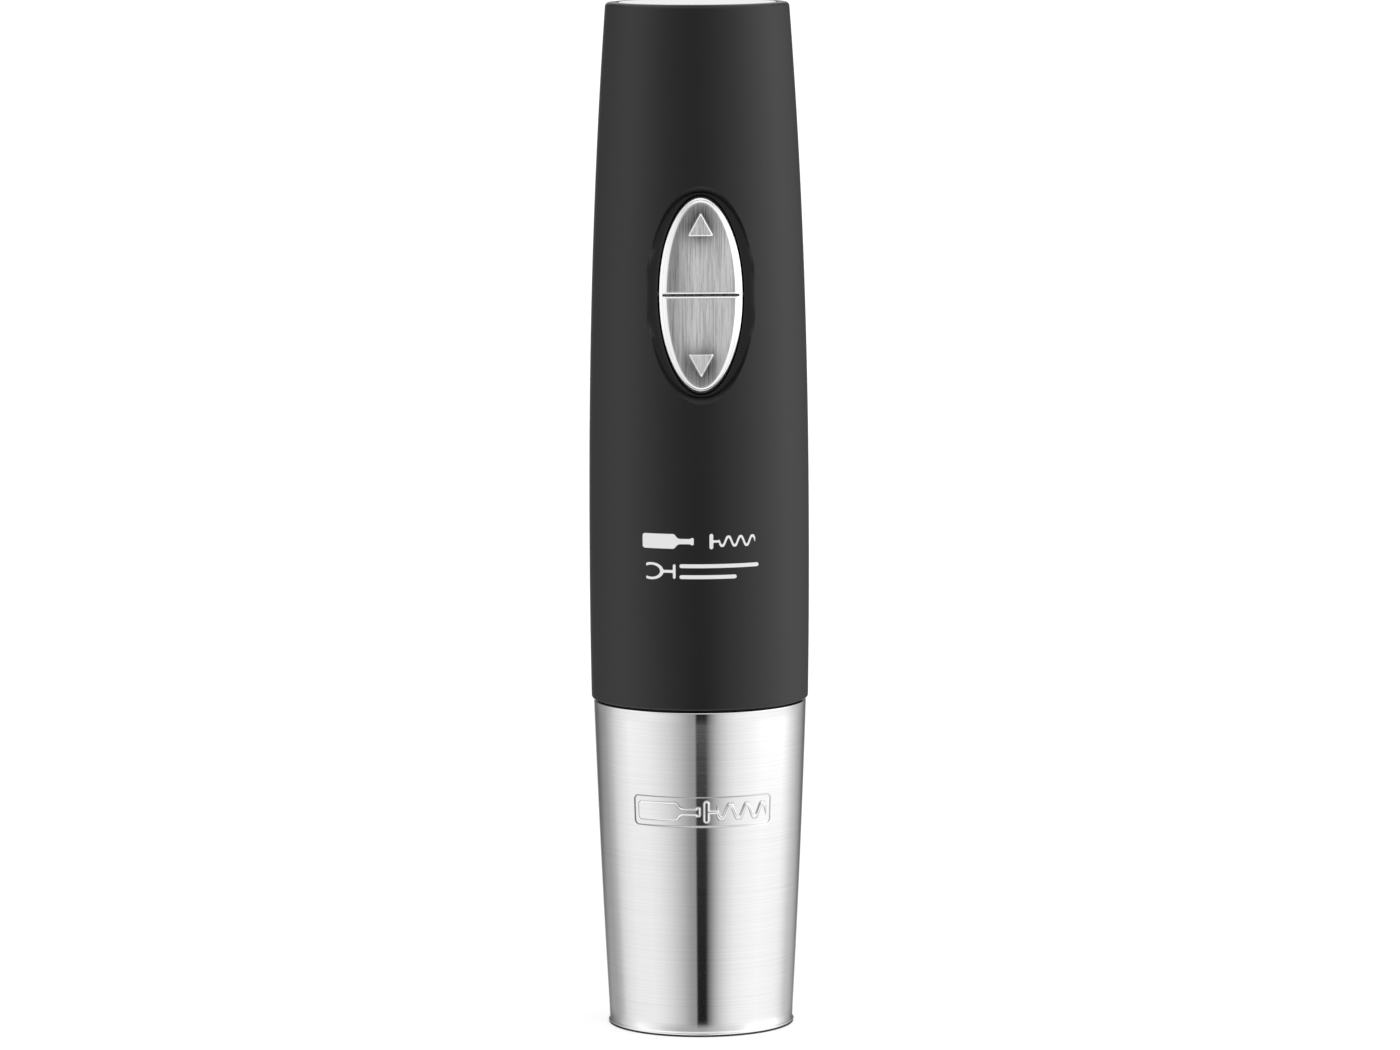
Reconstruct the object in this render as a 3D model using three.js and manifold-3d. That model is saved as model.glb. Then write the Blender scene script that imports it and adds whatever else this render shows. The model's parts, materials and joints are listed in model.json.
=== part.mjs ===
// Upright electric wine opener: barrel handle with a rocker button, tapered steel collar,
// chamber with its worm, three-stage planetary gearbox, motor, battery pack and switch board.
// Millimetres, +Z up, origin at the bottom centre, the button faces -Y.
import * as THREE from 'three';
import { mergeVertices } from 'three/addons/utils/BufferGeometryUtils.js';
import Module from 'manifold-3d';

const wasm = await Module();
wasm.setup();

// ---- driving dimensions -------------------------------------------------------------------

const GAP = 0.3; // air between neighbouring pieces
const ROUND = 40; // facets round the outer surfaces
const INNER_ROUND = 20; // facets round the inner pieces

const HEIGHT = 265;
const SEAM_Z = 85; // middle of the shadow gap between collar and handle
const SEAM_GAP = 0.5;

const HANDLE_WIDEST_R = 28.4;
const HANDLE_WIDEST_Z = 126;
const HANDLE_TAPER = 1.19e-4;
const HANDLE_TAPER_POWER = 2.15;
const HANDLE_WALL = 2.4;
const HANDLE_TOP_Z = HEIGHT - 0.3;
const RIM_FILLET = 1.2;
const CAP_R = 20.3;
const CAP_THICK = 2;
const LIP_DEPTH = 4.2;

const COLLAR_FOOT_R = 23.7;
const COLLAR_SLOPE = 0.0565;
const COLLAR_BOW = 1.3e-4;
const COLLAR_WALL = 0.9;
const COLLAR_LIP_R = 24.12; // rolled lip round the collar's foot
const COLLAR_LIP_TOP = 1.3;

const MOUTH_R = 24;
const MOUTH_EDGE = 0.35; // the part of the ring that shows under the collar
const MOUTH_THICK = 1;
const NECK_BORE_R = 16;
const NECK_DEPTH = 30;
const CORK_BORE_R = 13;
const CHAMBER_WALL = 2.4;
const CHAMBER_TOP_Z = SEAM_Z - 0.1;
const CHAMBER_LID = 3.4;
const RIB_COUNT = 4;

const WIRE_R = 1.5;
const WORM_R = 3;
const WORM_PITCH = 8.5;
const WORM_TIP_Z = 29;
const WORM_EASE_Z = 66;
const WORM_SHANK_Z = 74;
const WORM_TOP_Z = 79.4;
const SPINDLE_R = 3;
const HUB_R = 5.7;

const GEAR_MODULE = 0.8;
const SUN_TEETH = 12;
const PLANET_TEETH = 12;
const RING_TEETH = 36;
const PLANET_ORBIT = (GEAR_MODULE * (SUN_TEETH + PLANET_TEETH)) / 2;
const PLANETS = 3;
const GEAR_FACE = 6.6;
const GEARBOX_Z = SEAM_Z + 3.3;
const GEARBOX_R = 18;
const STAGE_PITCH = 10.2;
const CARRIER_R = 11.8;
const CARRIER_THICK = 2.6;
const GEARBOX_TOP_Z = GEARBOX_Z + 3 * STAGE_PITCH + 0.4;

const MOTOR_R = 13.85;
const MOTOR_Z = GEARBOX_TOP_Z + 3.2;
const MOTOR_LENGTH = 38;
const SHAFT_R = 1.5;

const CELL_R = 7.25;
const CELL_LENGTH = 49.5;
const CELL_OFFSET = 7.45;
const CELL_Z = 208.8;

const BUTTON_Z = 191.3;
const BUTTON_TILT = THREE.MathUtils.degToRad(1.8); // leans back with the barrel
const RECESS_A = 13.75;
const RECESS_B = 26.75;
const RECESS_Y = -23.8;
const RECESS_FLOOR = 2.2;
const PLATE_A = 10.6;
const PLATE_B = 25;
const PLATE_THICK = 1.9;
const PLATE_PROUD = 1.3;
const BUTTON_GAP = 0.55;
const PIVOT_W = -4;
const PIVOT_R = 0.9;

const SCREW_HEIGHTS = [98, 243];
const SCREW_SPREADS = [21.2, 18.6];
const LEAD_X = 7;
const LEAD_Y = 19.6;

// ---- finishes -----------------------------------------------------------------------------

const FINISHES = {
  soft_black: { color: 0x2b2b2d, roughness: 0.55, metalness: 0 },
  dark_plastic: { color: 0x1b1b1d, roughness: 0.45, metalness: 0 },
  white_nylon: { color: 0xe6e2d6, roughness: 0.5, metalness: 0 },
  brushed_steel: { color: 0xc9cacc, roughness: 0.3, metalness: 1 },
  polished_steel: { color: 0xd8d9db, roughness: 0.15, metalness: 1 },
  gear_steel: { color: 0x9a9b9e, roughness: 0.35, metalness: 1 },
  magnet_grey: { color: 0x3c3d40, roughness: 0.6, metalness: 0.4 },
  copper: { color: 0xb4693a, roughness: 0.3, metalness: 1 },
  contact_brass: { color: 0xc8a24e, roughness: 0.25, metalness: 1 },
  board_green: { color: 0x1f5a36, roughness: 0.5, metalness: 0 },
  cell_wrap: { color: 0x2f7f4a, roughness: 0.35, metalness: 0 },
  lead_red: { color: 0xa32620, roughness: 0.5, metalness: 0 },
};

// ---- helpers ------------------------------------------------------------------------------

function solidOf(geometry) {
  const bare = geometry.clone();
  bare.deleteAttribute('normal');
  bare.deleteAttribute('uv');
  const merged = mergeVertices(bare, 1e-4);
  const corners = merged.index.array;
  const kept = [];
  for (let i = 0; i < corners.length; i += 3) {
    const [a, b, c] = [corners[i], corners[i + 1], corners[i + 2]];
    if (a !== b && b !== c && c !== a) kept.push(a, b, c);
  }
  const places = merged.attributes.position.array;
  const solid = new wasm.Manifold(
    new wasm.Mesh({ numProp: 3, vertProperties: new Float32Array(places), triVerts: new Uint32Array(kept) }),
  );
  return solid;
}

function geometryOf(solid) {
  const mesh = solid.getMesh();
  const geometry = new THREE.BufferGeometry();
  geometry.setAttribute('position', new THREE.BufferAttribute(new Float32Array(mesh.vertProperties), 3));
  geometry.setIndex(new THREE.BufferAttribute(new Uint32Array(mesh.triVerts), 1));
  geometry.computeVertexNormals();
  return geometry;
}

const join = (...solids) => solids.reduce((all, next) => all.add(next));
const cut = (solid, ...tools) => tools.reduce((left, tool) => left.subtract(tool), solid);

// a solid turned about Z from [radius, height] points, counter-clockwise, closed by itself
function turned(points, facets = INNER_ROUND) {
  const profile = points.map(([r, z]) => new THREE.Vector2(r, z));
  const closed = points[0][0] === 0 && points[points.length - 1][0] === 0;
  if (!closed) profile.push(profile[0].clone());
  return solidOf(new THREE.LatheGeometry(profile, facets).rotateX(Math.PI / 2));
}

function disc(radius, low, high, facets = INNER_ROUND) {
  return turned([[0, low], [radius, low], [radius, high], [0, high]], facets);
}

function rod(x, y, radius, low, high, facets = 10) {
  return disc(radius, low, high, facets).translate([x, y, 0]);
}

// a rod along Y
function rodAlongY(x, z, radius, low, high, facets = 10) {
  return disc(radius, low, high, facets).rotate([-90, 0, 0]).translate([x, 0, z]);
}

// a rod along X
function rodAlongX(y, z, radius, low, high, facets = 12) {
  return disc(radius, low, high, facets).rotate([0, 90, 0]).translate([0, y, z]);
}

function block(low, high) {
  const size = high.map((value, i) => value - low[i]);
  const middle = high.map((value, i) => (value + low[i]) / 2);
  return solidOf(new THREE.BoxGeometry(...size)).translate(middle);
}

function slab(shape, low, high, segments = 12) {
  const geometry = new THREE.ExtrudeGeometry(shape, {
    depth: high - low,
    bevelEnabled: false,
    curveSegments: segments,
  });
  return solidOf(geometry.translate(0, 0, low));
}

function ellipse(a, b) {
  return new THREE.Shape().absellipse(0, 0, a, b, 0, 2 * Math.PI);
}

function roundedRectangle(halfWidth, halfHeight, corner) {
  const shape = new THREE.Shape();
  const [w, h] = [halfWidth - corner, halfHeight - corner];
  shape.absarc(w, h, corner, 0, Math.PI / 2);
  shape.absarc(-w, h, corner, Math.PI / 2, Math.PI);
  shape.absarc(-w, -h, corner, Math.PI, 1.5 * Math.PI);
  shape.absarc(w, -h, corner, 1.5 * Math.PI, 2 * Math.PI);
  return shape;
}

function makeMesh(name, solid, finish) {
  const material = new THREE.MeshStandardMaterial(FINISHES[finish]);
  const mesh = new THREE.Mesh(geometryOf(solid), material);
  mesh.name = name;
  return mesh;
}

function around(count, radius, offset = Math.PI / 2) {
  return Array.from({ length: count }, (_, i) => {
    const angle = offset + (i * 2 * Math.PI) / count;
    return [radius * Math.cos(angle), radius * Math.sin(angle), angle];
  });
}

// ---- outlines -----------------------------------------------------------------------------

const handleRadius = (z) =>
  HANDLE_WIDEST_R - HANDLE_TAPER * Math.abs(z - HANDLE_WIDEST_Z) ** HANDLE_TAPER_POWER;
const collarRadius = (z) => COLLAR_FOOT_R + COLLAR_SLOPE * z - COLLAR_BOW * z * z;

function spread(low, high, steps) {
  return Array.from({ length: steps + 1 }, (_, i) => low + ((high - low) * i) / steps);
}

// the barrel's outer line from its lower edge to the top face, inset by a distance
function barrelLine(inset, low, high, steps) {
  return spread(low, high, steps).map((z) => [handleRadius(z) - inset, z]);
}

// the lip round the end cap, rounded at its outer corner
function rimLine() {
  const centreZ = HANDLE_TOP_Z - RIM_FILLET;
  const centreR = handleRadius(centreZ) - RIM_FILLET;
  return [15, 50, 90].map((degrees) => {
    const angle = THREE.MathUtils.degToRad(degrees);
    return [centreR + RIM_FILLET * Math.cos(angle), centreZ + RIM_FILLET * Math.sin(angle)];
  });
}

const gearPitchRadius = (teeth) => (GEAR_MODULE * teeth) / 2;

// a toothed outline: straight flanks through a narrow tooth at the pitch circle
function gearOutline(teeth, outward) {
  const pitch = gearPitchRadius(teeth);
  const side = outward ? 1 : -1;
  const tip = pitch + side * 0.72 * GEAR_MODULE;
  const root = pitch - side * 1.1 * GEAR_MODULE;
  const step = (2 * Math.PI) / teeth;
  const tipHalf = (0.2 * GEAR_MODULE) / tip;
  const rootHalf = (1.0 * GEAR_MODULE) / root;
  const points = [];
  for (let i = 0; i < teeth; i += 1) {
    const middle = i * step;
    for (const [radius, angle] of [
      [root, middle - rootHalf],
      [tip, middle - tipHalf],
      [tip, middle + tipHalf],
      [root, middle + rootHalf],
    ]) {
      points.push(new THREE.Vector2(radius * Math.cos(angle), radius * Math.sin(angle)));
    }
  }
  return points;
}

const gearSolid = (teeth, low, high) => slab(new THREE.Shape(gearOutline(teeth, true)), low, high);

// ---- the rocker's own frame: X across, Y up the button, Z out of the recess floor ---------------

const rockerFrame = new THREE.Group();
rockerFrame.position.set(0, RECESS_Y, BUTTON_Z);
rockerFrame.rotation.x = Math.PI / 2 - BUTTON_TILT;

function inHandle(solid) {
  const degrees = THREE.MathUtils.radToDeg(rockerFrame.rotation.x);
  return solid.rotate([degrees, 0, 0]).translate([0, RECESS_Y, BUTTON_Z]);
}

// ---- handle -------------------------------------------------------------------------------

const shellFoot = SEAM_Z + SEAM_GAP / 2;
const lipZ = HANDLE_TOP_Z - LIP_DEPTH;

function wholeShell() {
  const footEdge = 0.5;
  const outer = barrelLine(0, shellFoot + footEdge, HANDLE_TOP_Z - 2 * RIM_FILLET, 6);
  const inner = barrelLine(HANDLE_WALL, shellFoot, lipZ, 2).reverse();
  return turned(
    [
      [handleRadius(shellFoot) - footEdge, shellFoot],
      ...outer,
      ...rimLine(),
      [CAP_R + GAP, HANDLE_TOP_Z],
      [CAP_R + GAP, lipZ],
      ...inner,
    ],
    ROUND,
  );
}

function barrelFill() {
  return turned(
    [[0, shellFoot + 1], ...barrelLine(0.8, shellFoot + 1, HANDLE_TOP_Z - 3, 5), [0, HANDLE_TOP_Z - 3]],
    ROUND,
  );
}

// room for the gearbox, the motor and the cells
function innerClearance() {
  const cells = [-1, 1].flatMap((sx) =>
    [-1, 1].map((sy) => rod(sx * CELL_OFFSET, sy * CELL_OFFSET, CELL_R + GAP, CELL_Z - 2, 262)),
  );
  return join(
    disc(GEARBOX_R + GAP, SEAM_Z, GEARBOX_TOP_Z + 3),
    disc(MOTOR_R + GAP, GEARBOX_TOP_Z, MOTOR_Z + MOTOR_LENGTH + 8),
    ...cells,
  );
}

const screwPlaces = SCREW_HEIGHTS.flatMap((z, i) => [-SCREW_SPREADS[i], SCREW_SPREADS[i]].map((x) => [x, z]));

function frontShell() {
  const half = wholeShell().intersect(block([-40, -40, 0], [40, -GAP / 2, 300]));
  const bosses = screwPlaces.map(([x, z]) => rodAlongY(x, z, 2.6, -22, -GAP / 2));
  const tub = inHandle(slab(ellipse(RECESS_A + 2, RECESS_B + 2), -RECESS_FLOOR, 8));
  const ears = [-1, 1].map((side) =>
    inHandle(block([side * 11.8 - 1.3, -2.6, PIVOT_W - 2.2], [side * 11.8 + 1.3, 2.6, -RECESS_FLOOR + 0.5])),
  );
  const fill = barrelFill();
  const body = join(half, join(...bosses, tub, ...ears).intersect(fill));
  const pilots = screwPlaces.map(([x, z]) => rodAlongY(x, z, 1.35, -11, 1));
  return cut(
    body,
    inHandle(slab(ellipse(RECESS_A, RECESS_B), 0, 12)),
    inHandle(slab(ellipse(PLATE_A + BUTTON_GAP, PLATE_B + BUTTON_GAP), -6, 2)),
    inHandle(rodAlongX(0, PIVOT_W, PIVOT_R + GAP, -12.7, 12.7, 12)),
    innerClearance(),
    ...pilots,
  );
}

function rearShell() {
  const seatY = 7.6;
  const half = wholeShell().intersect(block([-40, GAP / 2, 0], [40, 40, 300]));
  const bosses = screwPlaces.flatMap(([x, z]) => [
    rodAlongY(x, z, 2.6, GAP / 2, seatY),
    rodAlongY(x, z, 4.2, seatY - 1.4, 24),
  ]);
  const body = join(half, join(...bosses).intersect(barrelFill()));
  const wells = screwPlaces.flatMap(([x, z]) => [
    rodAlongY(x, z, 3.1, seatY, 30),
    rodAlongY(x, z, 1.4, -1, seatY + 1),
  ]);
  return cut(body, innerClearance(), ...wells);
}

function shellScrew() {
  const cross = join(block([-1.5, 9.1, -0.3], [1.5, 11, 0.3]), block([-0.3, 9.1, -1.5], [0.3, 11, 1.5]));
  const body = join(rodAlongY(0, 0, 1.1, -10, 8.5, 12), rodAlongY(0, 0, 2.6, 7.9, 10, 14));
  return cut(body, cross);
}

function endCap() {
  const low = HANDLE_TOP_Z - CAP_THICK;
  return turned(
    [
      [0, low - 1.6],
      [18.6, low - 1.6],
      [18.6, low],
      [CAP_R, low],
      [CAP_R, HANDLE_TOP_Z - 0.5],
      [CAP_R - 0.5, HANDLE_TOP_Z],
      [12, HEIGHT - 0.1],
      [0, HEIGHT],
    ],
    ROUND,
  );
}

// ---- collar, mouth and chamber ---------------------------------------------------------------

function steelCollar() {
  const low = MOUTH_EDGE + GAP;
  const high = SEAM_Z - SEAM_GAP / 2;
  const edge = 0.4;
  const outer = spread(COLLAR_LIP_TOP + 0.2, high - edge, 2).map((z) => [collarRadius(z), z]);
  return turned(
    [
      [COLLAR_LIP_R - 0.2, low],
      [COLLAR_LIP_R, low + 0.2],
      [COLLAR_LIP_R, COLLAR_LIP_TOP - 0.2],
      [COLLAR_LIP_R - 0.2, COLLAR_LIP_TOP],
      ...outer,
      [collarRadius(high) - edge, high],
      [collarRadius(high) - COLLAR_WALL, high],
      [collarRadius(40) - COLLAR_WALL, 40],
      [collarRadius(low) - COLLAR_WALL, low],
    ],
    ROUND,
  );
}

const contactPlaces = [-1, 1].map((side) => [side * LEAD_X, LEAD_Y]);

function mouthRing() {
  const ring = turned(
    [
      [NECK_BORE_R + 1.4, 0],
      [MOUTH_R - 0.15, 0],
      [MOUTH_R, 0.15],
      [MOUTH_R, MOUTH_EDGE],
      [22.3, MOUTH_EDGE],
      [22.3, 6],
      [19.4, 6],
      [19.4, MOUTH_THICK],
      [NECK_BORE_R + 0.6, MOUTH_THICK],
    ],
    32,
  );
  return cut(ring, ...contactPlaces.map(([x, y]) => rod(x, y, 2.1, -1, 8, 12)));
}

function chargeContact() {
  return turned([[0, 0.3], [1.4, 0.3], [1.75, 0.7], [1.75, 1.8], [0.9, 1.8], [0.9, 3.4], [0, 3.4]], 12);
}

// bore for the bottle's neck below, a narrower one for the cork above, and a lid under the seam
function chamberTube() {
  const low = MOUTH_THICK + GAP;
  const lidZ = CHAMBER_TOP_Z - CHAMBER_LID;
  const lidR = collarRadius(lidZ) - COLLAR_WALL - GAP;
  const tube = turned(
    [
      [NECK_BORE_R + 0.6, low],
      [NECK_BORE_R + CHAMBER_WALL, low],
      [NECK_BORE_R + CHAMBER_WALL, NECK_DEPTH],
      [CORK_BORE_R + CHAMBER_WALL, NECK_DEPTH + 4],
      [CORK_BORE_R + CHAMBER_WALL, lidZ],
      [lidR, lidZ],
      [lidR, CHAMBER_TOP_Z],
      [HUB_R + 0.6, CHAMBER_TOP_Z],
      [HUB_R + 0.6, lidZ],
      [CORK_BORE_R, lidZ],
      [CORK_BORE_R, NECK_DEPTH + 1.5],
      [NECK_BORE_R, NECK_DEPTH],
      [NECK_BORE_R, 8],
    ],
    24,
  );
  const ribs = around(RIB_COUNT, CORK_BORE_R + 0.4, Math.PI / 4).map(([x, y]) =>
    rod(x, y, 1.4, NECK_DEPTH + 2, lidZ + 0.5, 8),
  );
  const slots = contactPlaces.map(([x, y]) => rod(x, y, 1.5, lidZ - 1, 90, 10));
  return cut(join(tube, ...ribs), ...slots);
}

class LeadPath extends THREE.CatmullRomCurve3 {
  constructor(side) {
    const x = side * LEAD_X;
    super([
      new THREE.Vector3(x, LEAD_Y, 3.8),
      new THREE.Vector3(x, LEAD_Y, 50),
      new THREE.Vector3(x, LEAD_Y, 100),
      new THREE.Vector3(x, LEAD_Y, 150),
      new THREE.Vector3(x, 18.6, 180),
      new THREE.Vector3(x, 11.5, 196),
      new THREE.Vector3(x, 9.5, 204.2),
    ]);
  }
}

function chargeLead(side) {
  const section = new THREE.Shape().absarc(0, 0, 0.9, 0, 2 * Math.PI);
  const options = { steps: 16, bevelEnabled: false, extrudePath: new LeadPath(side), curveSegments: 3 };
  return solidOf(new THREE.ExtrudeGeometry(section, options));
}

// ---- worm and hub ---------------------------------------------------------------------------

// a right-handed helix whose radius eases to nothing at the shank
class WormPath extends THREE.Curve {
  getPoint(t, target = new THREE.Vector3()) {
    const z = WORM_TIP_Z + (WORM_TOP_Z - WORM_TIP_Z) * t;
    const ease = 1 - THREE.MathUtils.smoothstep(z, WORM_EASE_Z, WORM_SHANK_Z);
    const angle = (2 * Math.PI * (z - WORM_TIP_Z)) / WORM_PITCH;
    return target.set(WORM_R * ease * Math.cos(angle), WORM_R * ease * Math.sin(angle), z);
  }
}

function wormWire() {
  const section = new THREE.Shape().absarc(0, 0, WIRE_R, 0, 2 * Math.PI);
  const options = { steps: 64, bevelEnabled: false, extrudePath: new WormPath(), curveSegments: 3 };
  return solidOf(new THREE.ExtrudeGeometry(section, options));
}

function wormHub() {
  return turned([
    [WIRE_R + GAP + 0.1, 73.5],
    [HUB_R - 1.2, 73.5],
    [HUB_R, 75],
    [HUB_R, 84.2],
    [SPINDLE_R + GAP, 84.2],
    [SPINDLE_R + GAP, 79.8],
    [WIRE_R + GAP + 0.1, 79.8],
  ]);
}

// ---- gearbox --------------------------------------------------------------------------------

const stageFloor = (stage) => GEARBOX_Z + 0.4 + (3 - stage) * STAGE_PITCH;
const stageGears = (stage) => stageFloor(stage) + CARRIER_THICK + 0.4;

function nosePlate() {
  const low = CHAMBER_TOP_Z + 0.4;
  const edge = handleRadius(low) - HANDLE_WALL - 0.4;
  const plate = turned([
    [SPINDLE_R + 0.4, low],
    [edge, low],
    [edge, GEARBOX_Z - GAP],
    [SPINDLE_R + 0.4, GEARBOX_Z - GAP],
  ]);
  return cut(plate, ...contactPlaces.map(([x, y]) => rod(x, y, 1.5, low - 1, GEARBOX_Z + 1, 10)));
}

function ringGearHousing() {
  const shape = new THREE.Shape().absarc(0, 0, GEARBOX_R, 0, 2 * Math.PI);
  shape.holes.push(new THREE.Path(gearOutline(RING_TEETH, false)));
  return slab(shape, GEARBOX_Z, GEARBOX_TOP_Z, 12);
}

function planetPins(stage) {
  const low = stageFloor(stage) + CARRIER_THICK - 0.5;
  return around(PLANETS, PLANET_ORBIT).map(([x, y]) => rod(x, y, 1.3, low, stageGears(stage) + GEAR_FACE - 0.6, 8));
}

function carrierPlate(stage) {
  return join(disc(CARRIER_R, stageFloor(stage), stageFloor(stage) + CARRIER_THICK), ...planetPins(stage));
}

function outputCarrier() {
  return join(carrierPlate(3), disc(SPINDLE_R, 80.2, stageFloor(3) + 0.5, 14));
}

// a carrier with the sun gear of the stage below under its plate
function sunCarrier(stage) {
  return join(carrierPlate(stage), gearSolid(SUN_TEETH, stageGears(stage + 1), stageFloor(stage) + 0.5));
}

function planetGear() {
  const shape = new THREE.Shape(gearOutline(PLANET_TEETH, true));
  shape.holes.push(new THREE.Path().absarc(0, 0, 1.6, 0, 2 * Math.PI));
  return slab(shape, 0, GEAR_FACE, 5);
}

function planetMeshes() {
  const group = new THREE.Group();
  const letters = ['a', 'b', 'c'];
  const halfTooth = Math.PI / PLANET_TEETH;
  for (let stage = 1; stage <= 3; stage += 1) {
    around(PLANETS, PLANET_ORBIT).forEach(([x, y], i) => {
      const mesh = makeMesh(`planet_${stage}${letters[i]}`, planetGear(), 'white_nylon');
      mesh.position.set(x, y, stageGears(stage));
      mesh.rotation.z = halfTooth;
      group.add(mesh);
    });
  }
  return group;
}

const motorScrewX = 8;

function motorMountPlate() {
  const low = GEARBOX_TOP_Z + GAP;
  const plate = turned([
    [3.6, low],
    [GEARBOX_R, low],
    [GEARBOX_R, MOTOR_Z - GAP],
    [3.6, MOTOR_Z - GAP],
  ]);
  const holes = [-motorScrewX, motorScrewX].flatMap((x) => [
    rod(x, 0, 2.4, low - 1, low + 1.5),
    rod(x, 0, 1.4, low, MOTOR_Z, 12),
  ]);
  return cut(plate, ...holes);
}

function motorScrew() {
  const low = GEARBOX_TOP_Z + GAP + 0.2;
  return join(disc(2.1, low, low + 1, 14), disc(1.1, low + 0.5, low + 6, 10));
}

// ---- motor ----------------------------------------------------------------------------------

const canTop = MOTOR_Z + MOTOR_LENGTH;

function motorCan() {
  const wall = 0.9;
  const can = turned([
    [SHAFT_R + 0.5, MOTOR_Z - 2],
    [3.2, MOTOR_Z - 2],
    [3.2, MOTOR_Z],
    [MOTOR_R - 0.8, MOTOR_Z],
    [MOTOR_R, MOTOR_Z + 0.8],
    [MOTOR_R, canTop],
    [MOTOR_R - wall, canTop],
    [MOTOR_R - wall, MOTOR_Z + wall],
    [SHAFT_R + 0.5, MOTOR_Z + wall],
  ]);
  return cut(can, ...[-motorScrewX, motorScrewX].map((x) => rod(x, 0, 1.5, MOTOR_Z - 1, MOTOR_Z + 2, 12)));
}

function motorEndBell() {
  const low = canTop + GAP;
  const bell = turned([
    [SHAFT_R + 0.5, low + 2],
    [5, low + 2],
    [5, low - 2.4],
    [12.5, low - 2.4],
    [12.5, low],
    [MOTOR_R - 0.2, low],
    [MOTOR_R - 0.2, low + 3.4],
    [4.2, low + 4],
    [4.2, low + 5.6],
    [SHAFT_R + 0.5, low + 5.6],
  ]);
  const slots = [-1, 1].map((side) => block([side * 9.3 - 0.7, -1.9, low - 4], [side * 9.3 + 0.7, 1.9, low + 8]));
  return cut(bell, block([-9.6, -1.4, low - 4], [9.6, 1.4, low + 1]), ...slots);
}

// a brush arm reaching in to the commutator and a soldering tab standing out of the bell
function motorTerminal() {
  const low = canTop - 1.4;
  return join(block([3.8, -1, low], [9.5, 1, low + 1.6]), block([9.0, -1.5, low], [9.6, 1.5, canTop + 9.5]));
}

function motorMagnet(middle) {
  const [inner, outer, half] = [10.5, 12.6, 1.13];
  const shape = new THREE.Shape();
  shape.absarc(0, 0, outer, middle - half, middle + half, false);
  shape.absarc(0, 0, inner, middle + half, middle - half, true);
  return slab(shape, MOTOR_Z + 5, MOTOR_Z + 31, 8);
}

const motorShaft = () => disc(SHAFT_R, stageGears(1) + 0.2, canTop + 5.2, 12);

function sunPinion() {
  const shape = new THREE.Shape(gearOutline(SUN_TEETH, true));
  shape.holes.push(new THREE.Path().absarc(0, 0, SHAFT_R + GAP, 0, 2 * Math.PI));
  return slab(shape, stageGears(1), stageGears(1) + GEAR_FACE - 0.2, 5);
}

const poleGaps = around(3, 6.4, Math.PI / 6);
const coreLow = MOTOR_Z + 8;
const coreHigh = MOTOR_Z + 28;

function rotorCore() {
  const core = turned([[SHAFT_R + GAP, coreLow], [9.8, coreLow], [9.8, coreHigh], [SHAFT_R + GAP, coreHigh]]);
  const slots = poleGaps.flatMap(([x, y, angle]) => [
    rod(x, y, 2.6, coreLow - 1, coreHigh + 1, 12),
    block([6, -0.6, coreLow - 1], [11, 0.6, coreHigh + 1]).rotate([0, 0, THREE.MathUtils.radToDeg(angle)]),
  ]);
  return cut(core, ...slots);
}

// copper in the three slots, joined by the end turns above and below the core
function rotorWindings() {
  const ring = (low, high) => turned([[3, low], [8.8, low], [8.8, high], [3, high]], 16);
  const columns = poleGaps.map(([x, y]) => rod(x, y, 2.3, coreLow - 1, coreHigh + 1, 12));
  return join(ring(coreLow - 3.4, coreLow - GAP), ring(coreHigh + GAP, coreHigh + 4), ...columns);
}

function commutator() {
  const [low, high] = [canTop - 4.6, canTop + 1.6];
  const drum = turned([[SHAFT_R + GAP, low], [3.3, low], [3.3, high], [SHAFT_R + GAP, high]], 24);
  const slits = poleGaps.map(([, , angle]) =>
    block([2.7, -0.2, low + 1], [4, 0.2, high + 1]).rotate([0, 0, THREE.MathUtils.radToDeg(angle)]),
  );
  return cut(drum, ...slits);
}

// ---- battery pack ---------------------------------------------------------------------------

function batteryCell() {
  const high = CELL_LENGTH / 2;
  return turned(
    [
      [0, -high],
      [CELL_R - 0.6, -high],
      [CELL_R, 0.6 - high],
      [CELL_R, high - 0.9],
      [CELL_R - 0.9, high - 0.3],
      [2.7, high - 0.3],
      [2.7, high + 0.7],
      [0, high + 0.7],
    ],
    14,
  );
}

// four cells in series: every second one stands on its head
function batteryMeshes() {
  const group = new THREE.Group();
  around(4, CELL_OFFSET * Math.SQRT2, Math.PI / 4).forEach(([x, y], i) => {
    const mesh = makeMesh(`battery_cell_${i + 1}`, batteryCell(), 'cell_wrap');
    mesh.position.set(x, y, CELL_Z + CELL_LENGTH / 2 + 0.2);
    if (i % 2 === 1) {
      mesh.rotation.x = Math.PI;
      mesh.position.z += 0.5;
    }
    group.add(mesh);
  });
  return group;
}

function batteryTray() {
  const low = CELL_Z - 3.4;
  const floor = slab(roundedRectangle(16.2, 16.2, 8), low, low + 1.8, 5);
  const wall = slab(roundedRectangle(16.2, 16.2, 8), low, low + 20, 5);
  const room = slab(roundedRectangle(15.1, 15.1, 7.4), low + 1.8, low + 30, 5);
  return join(floor, cut(wall, room));
}

function cellLink(x, low) {
  return slab(roundedRectangle(3.2, 11, 2), low, low + 0.4, 3).translate([x, 0, 0]);
}

// ---- rocker, switches and board (in the rocker's own frame) ------------------------------------

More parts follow.
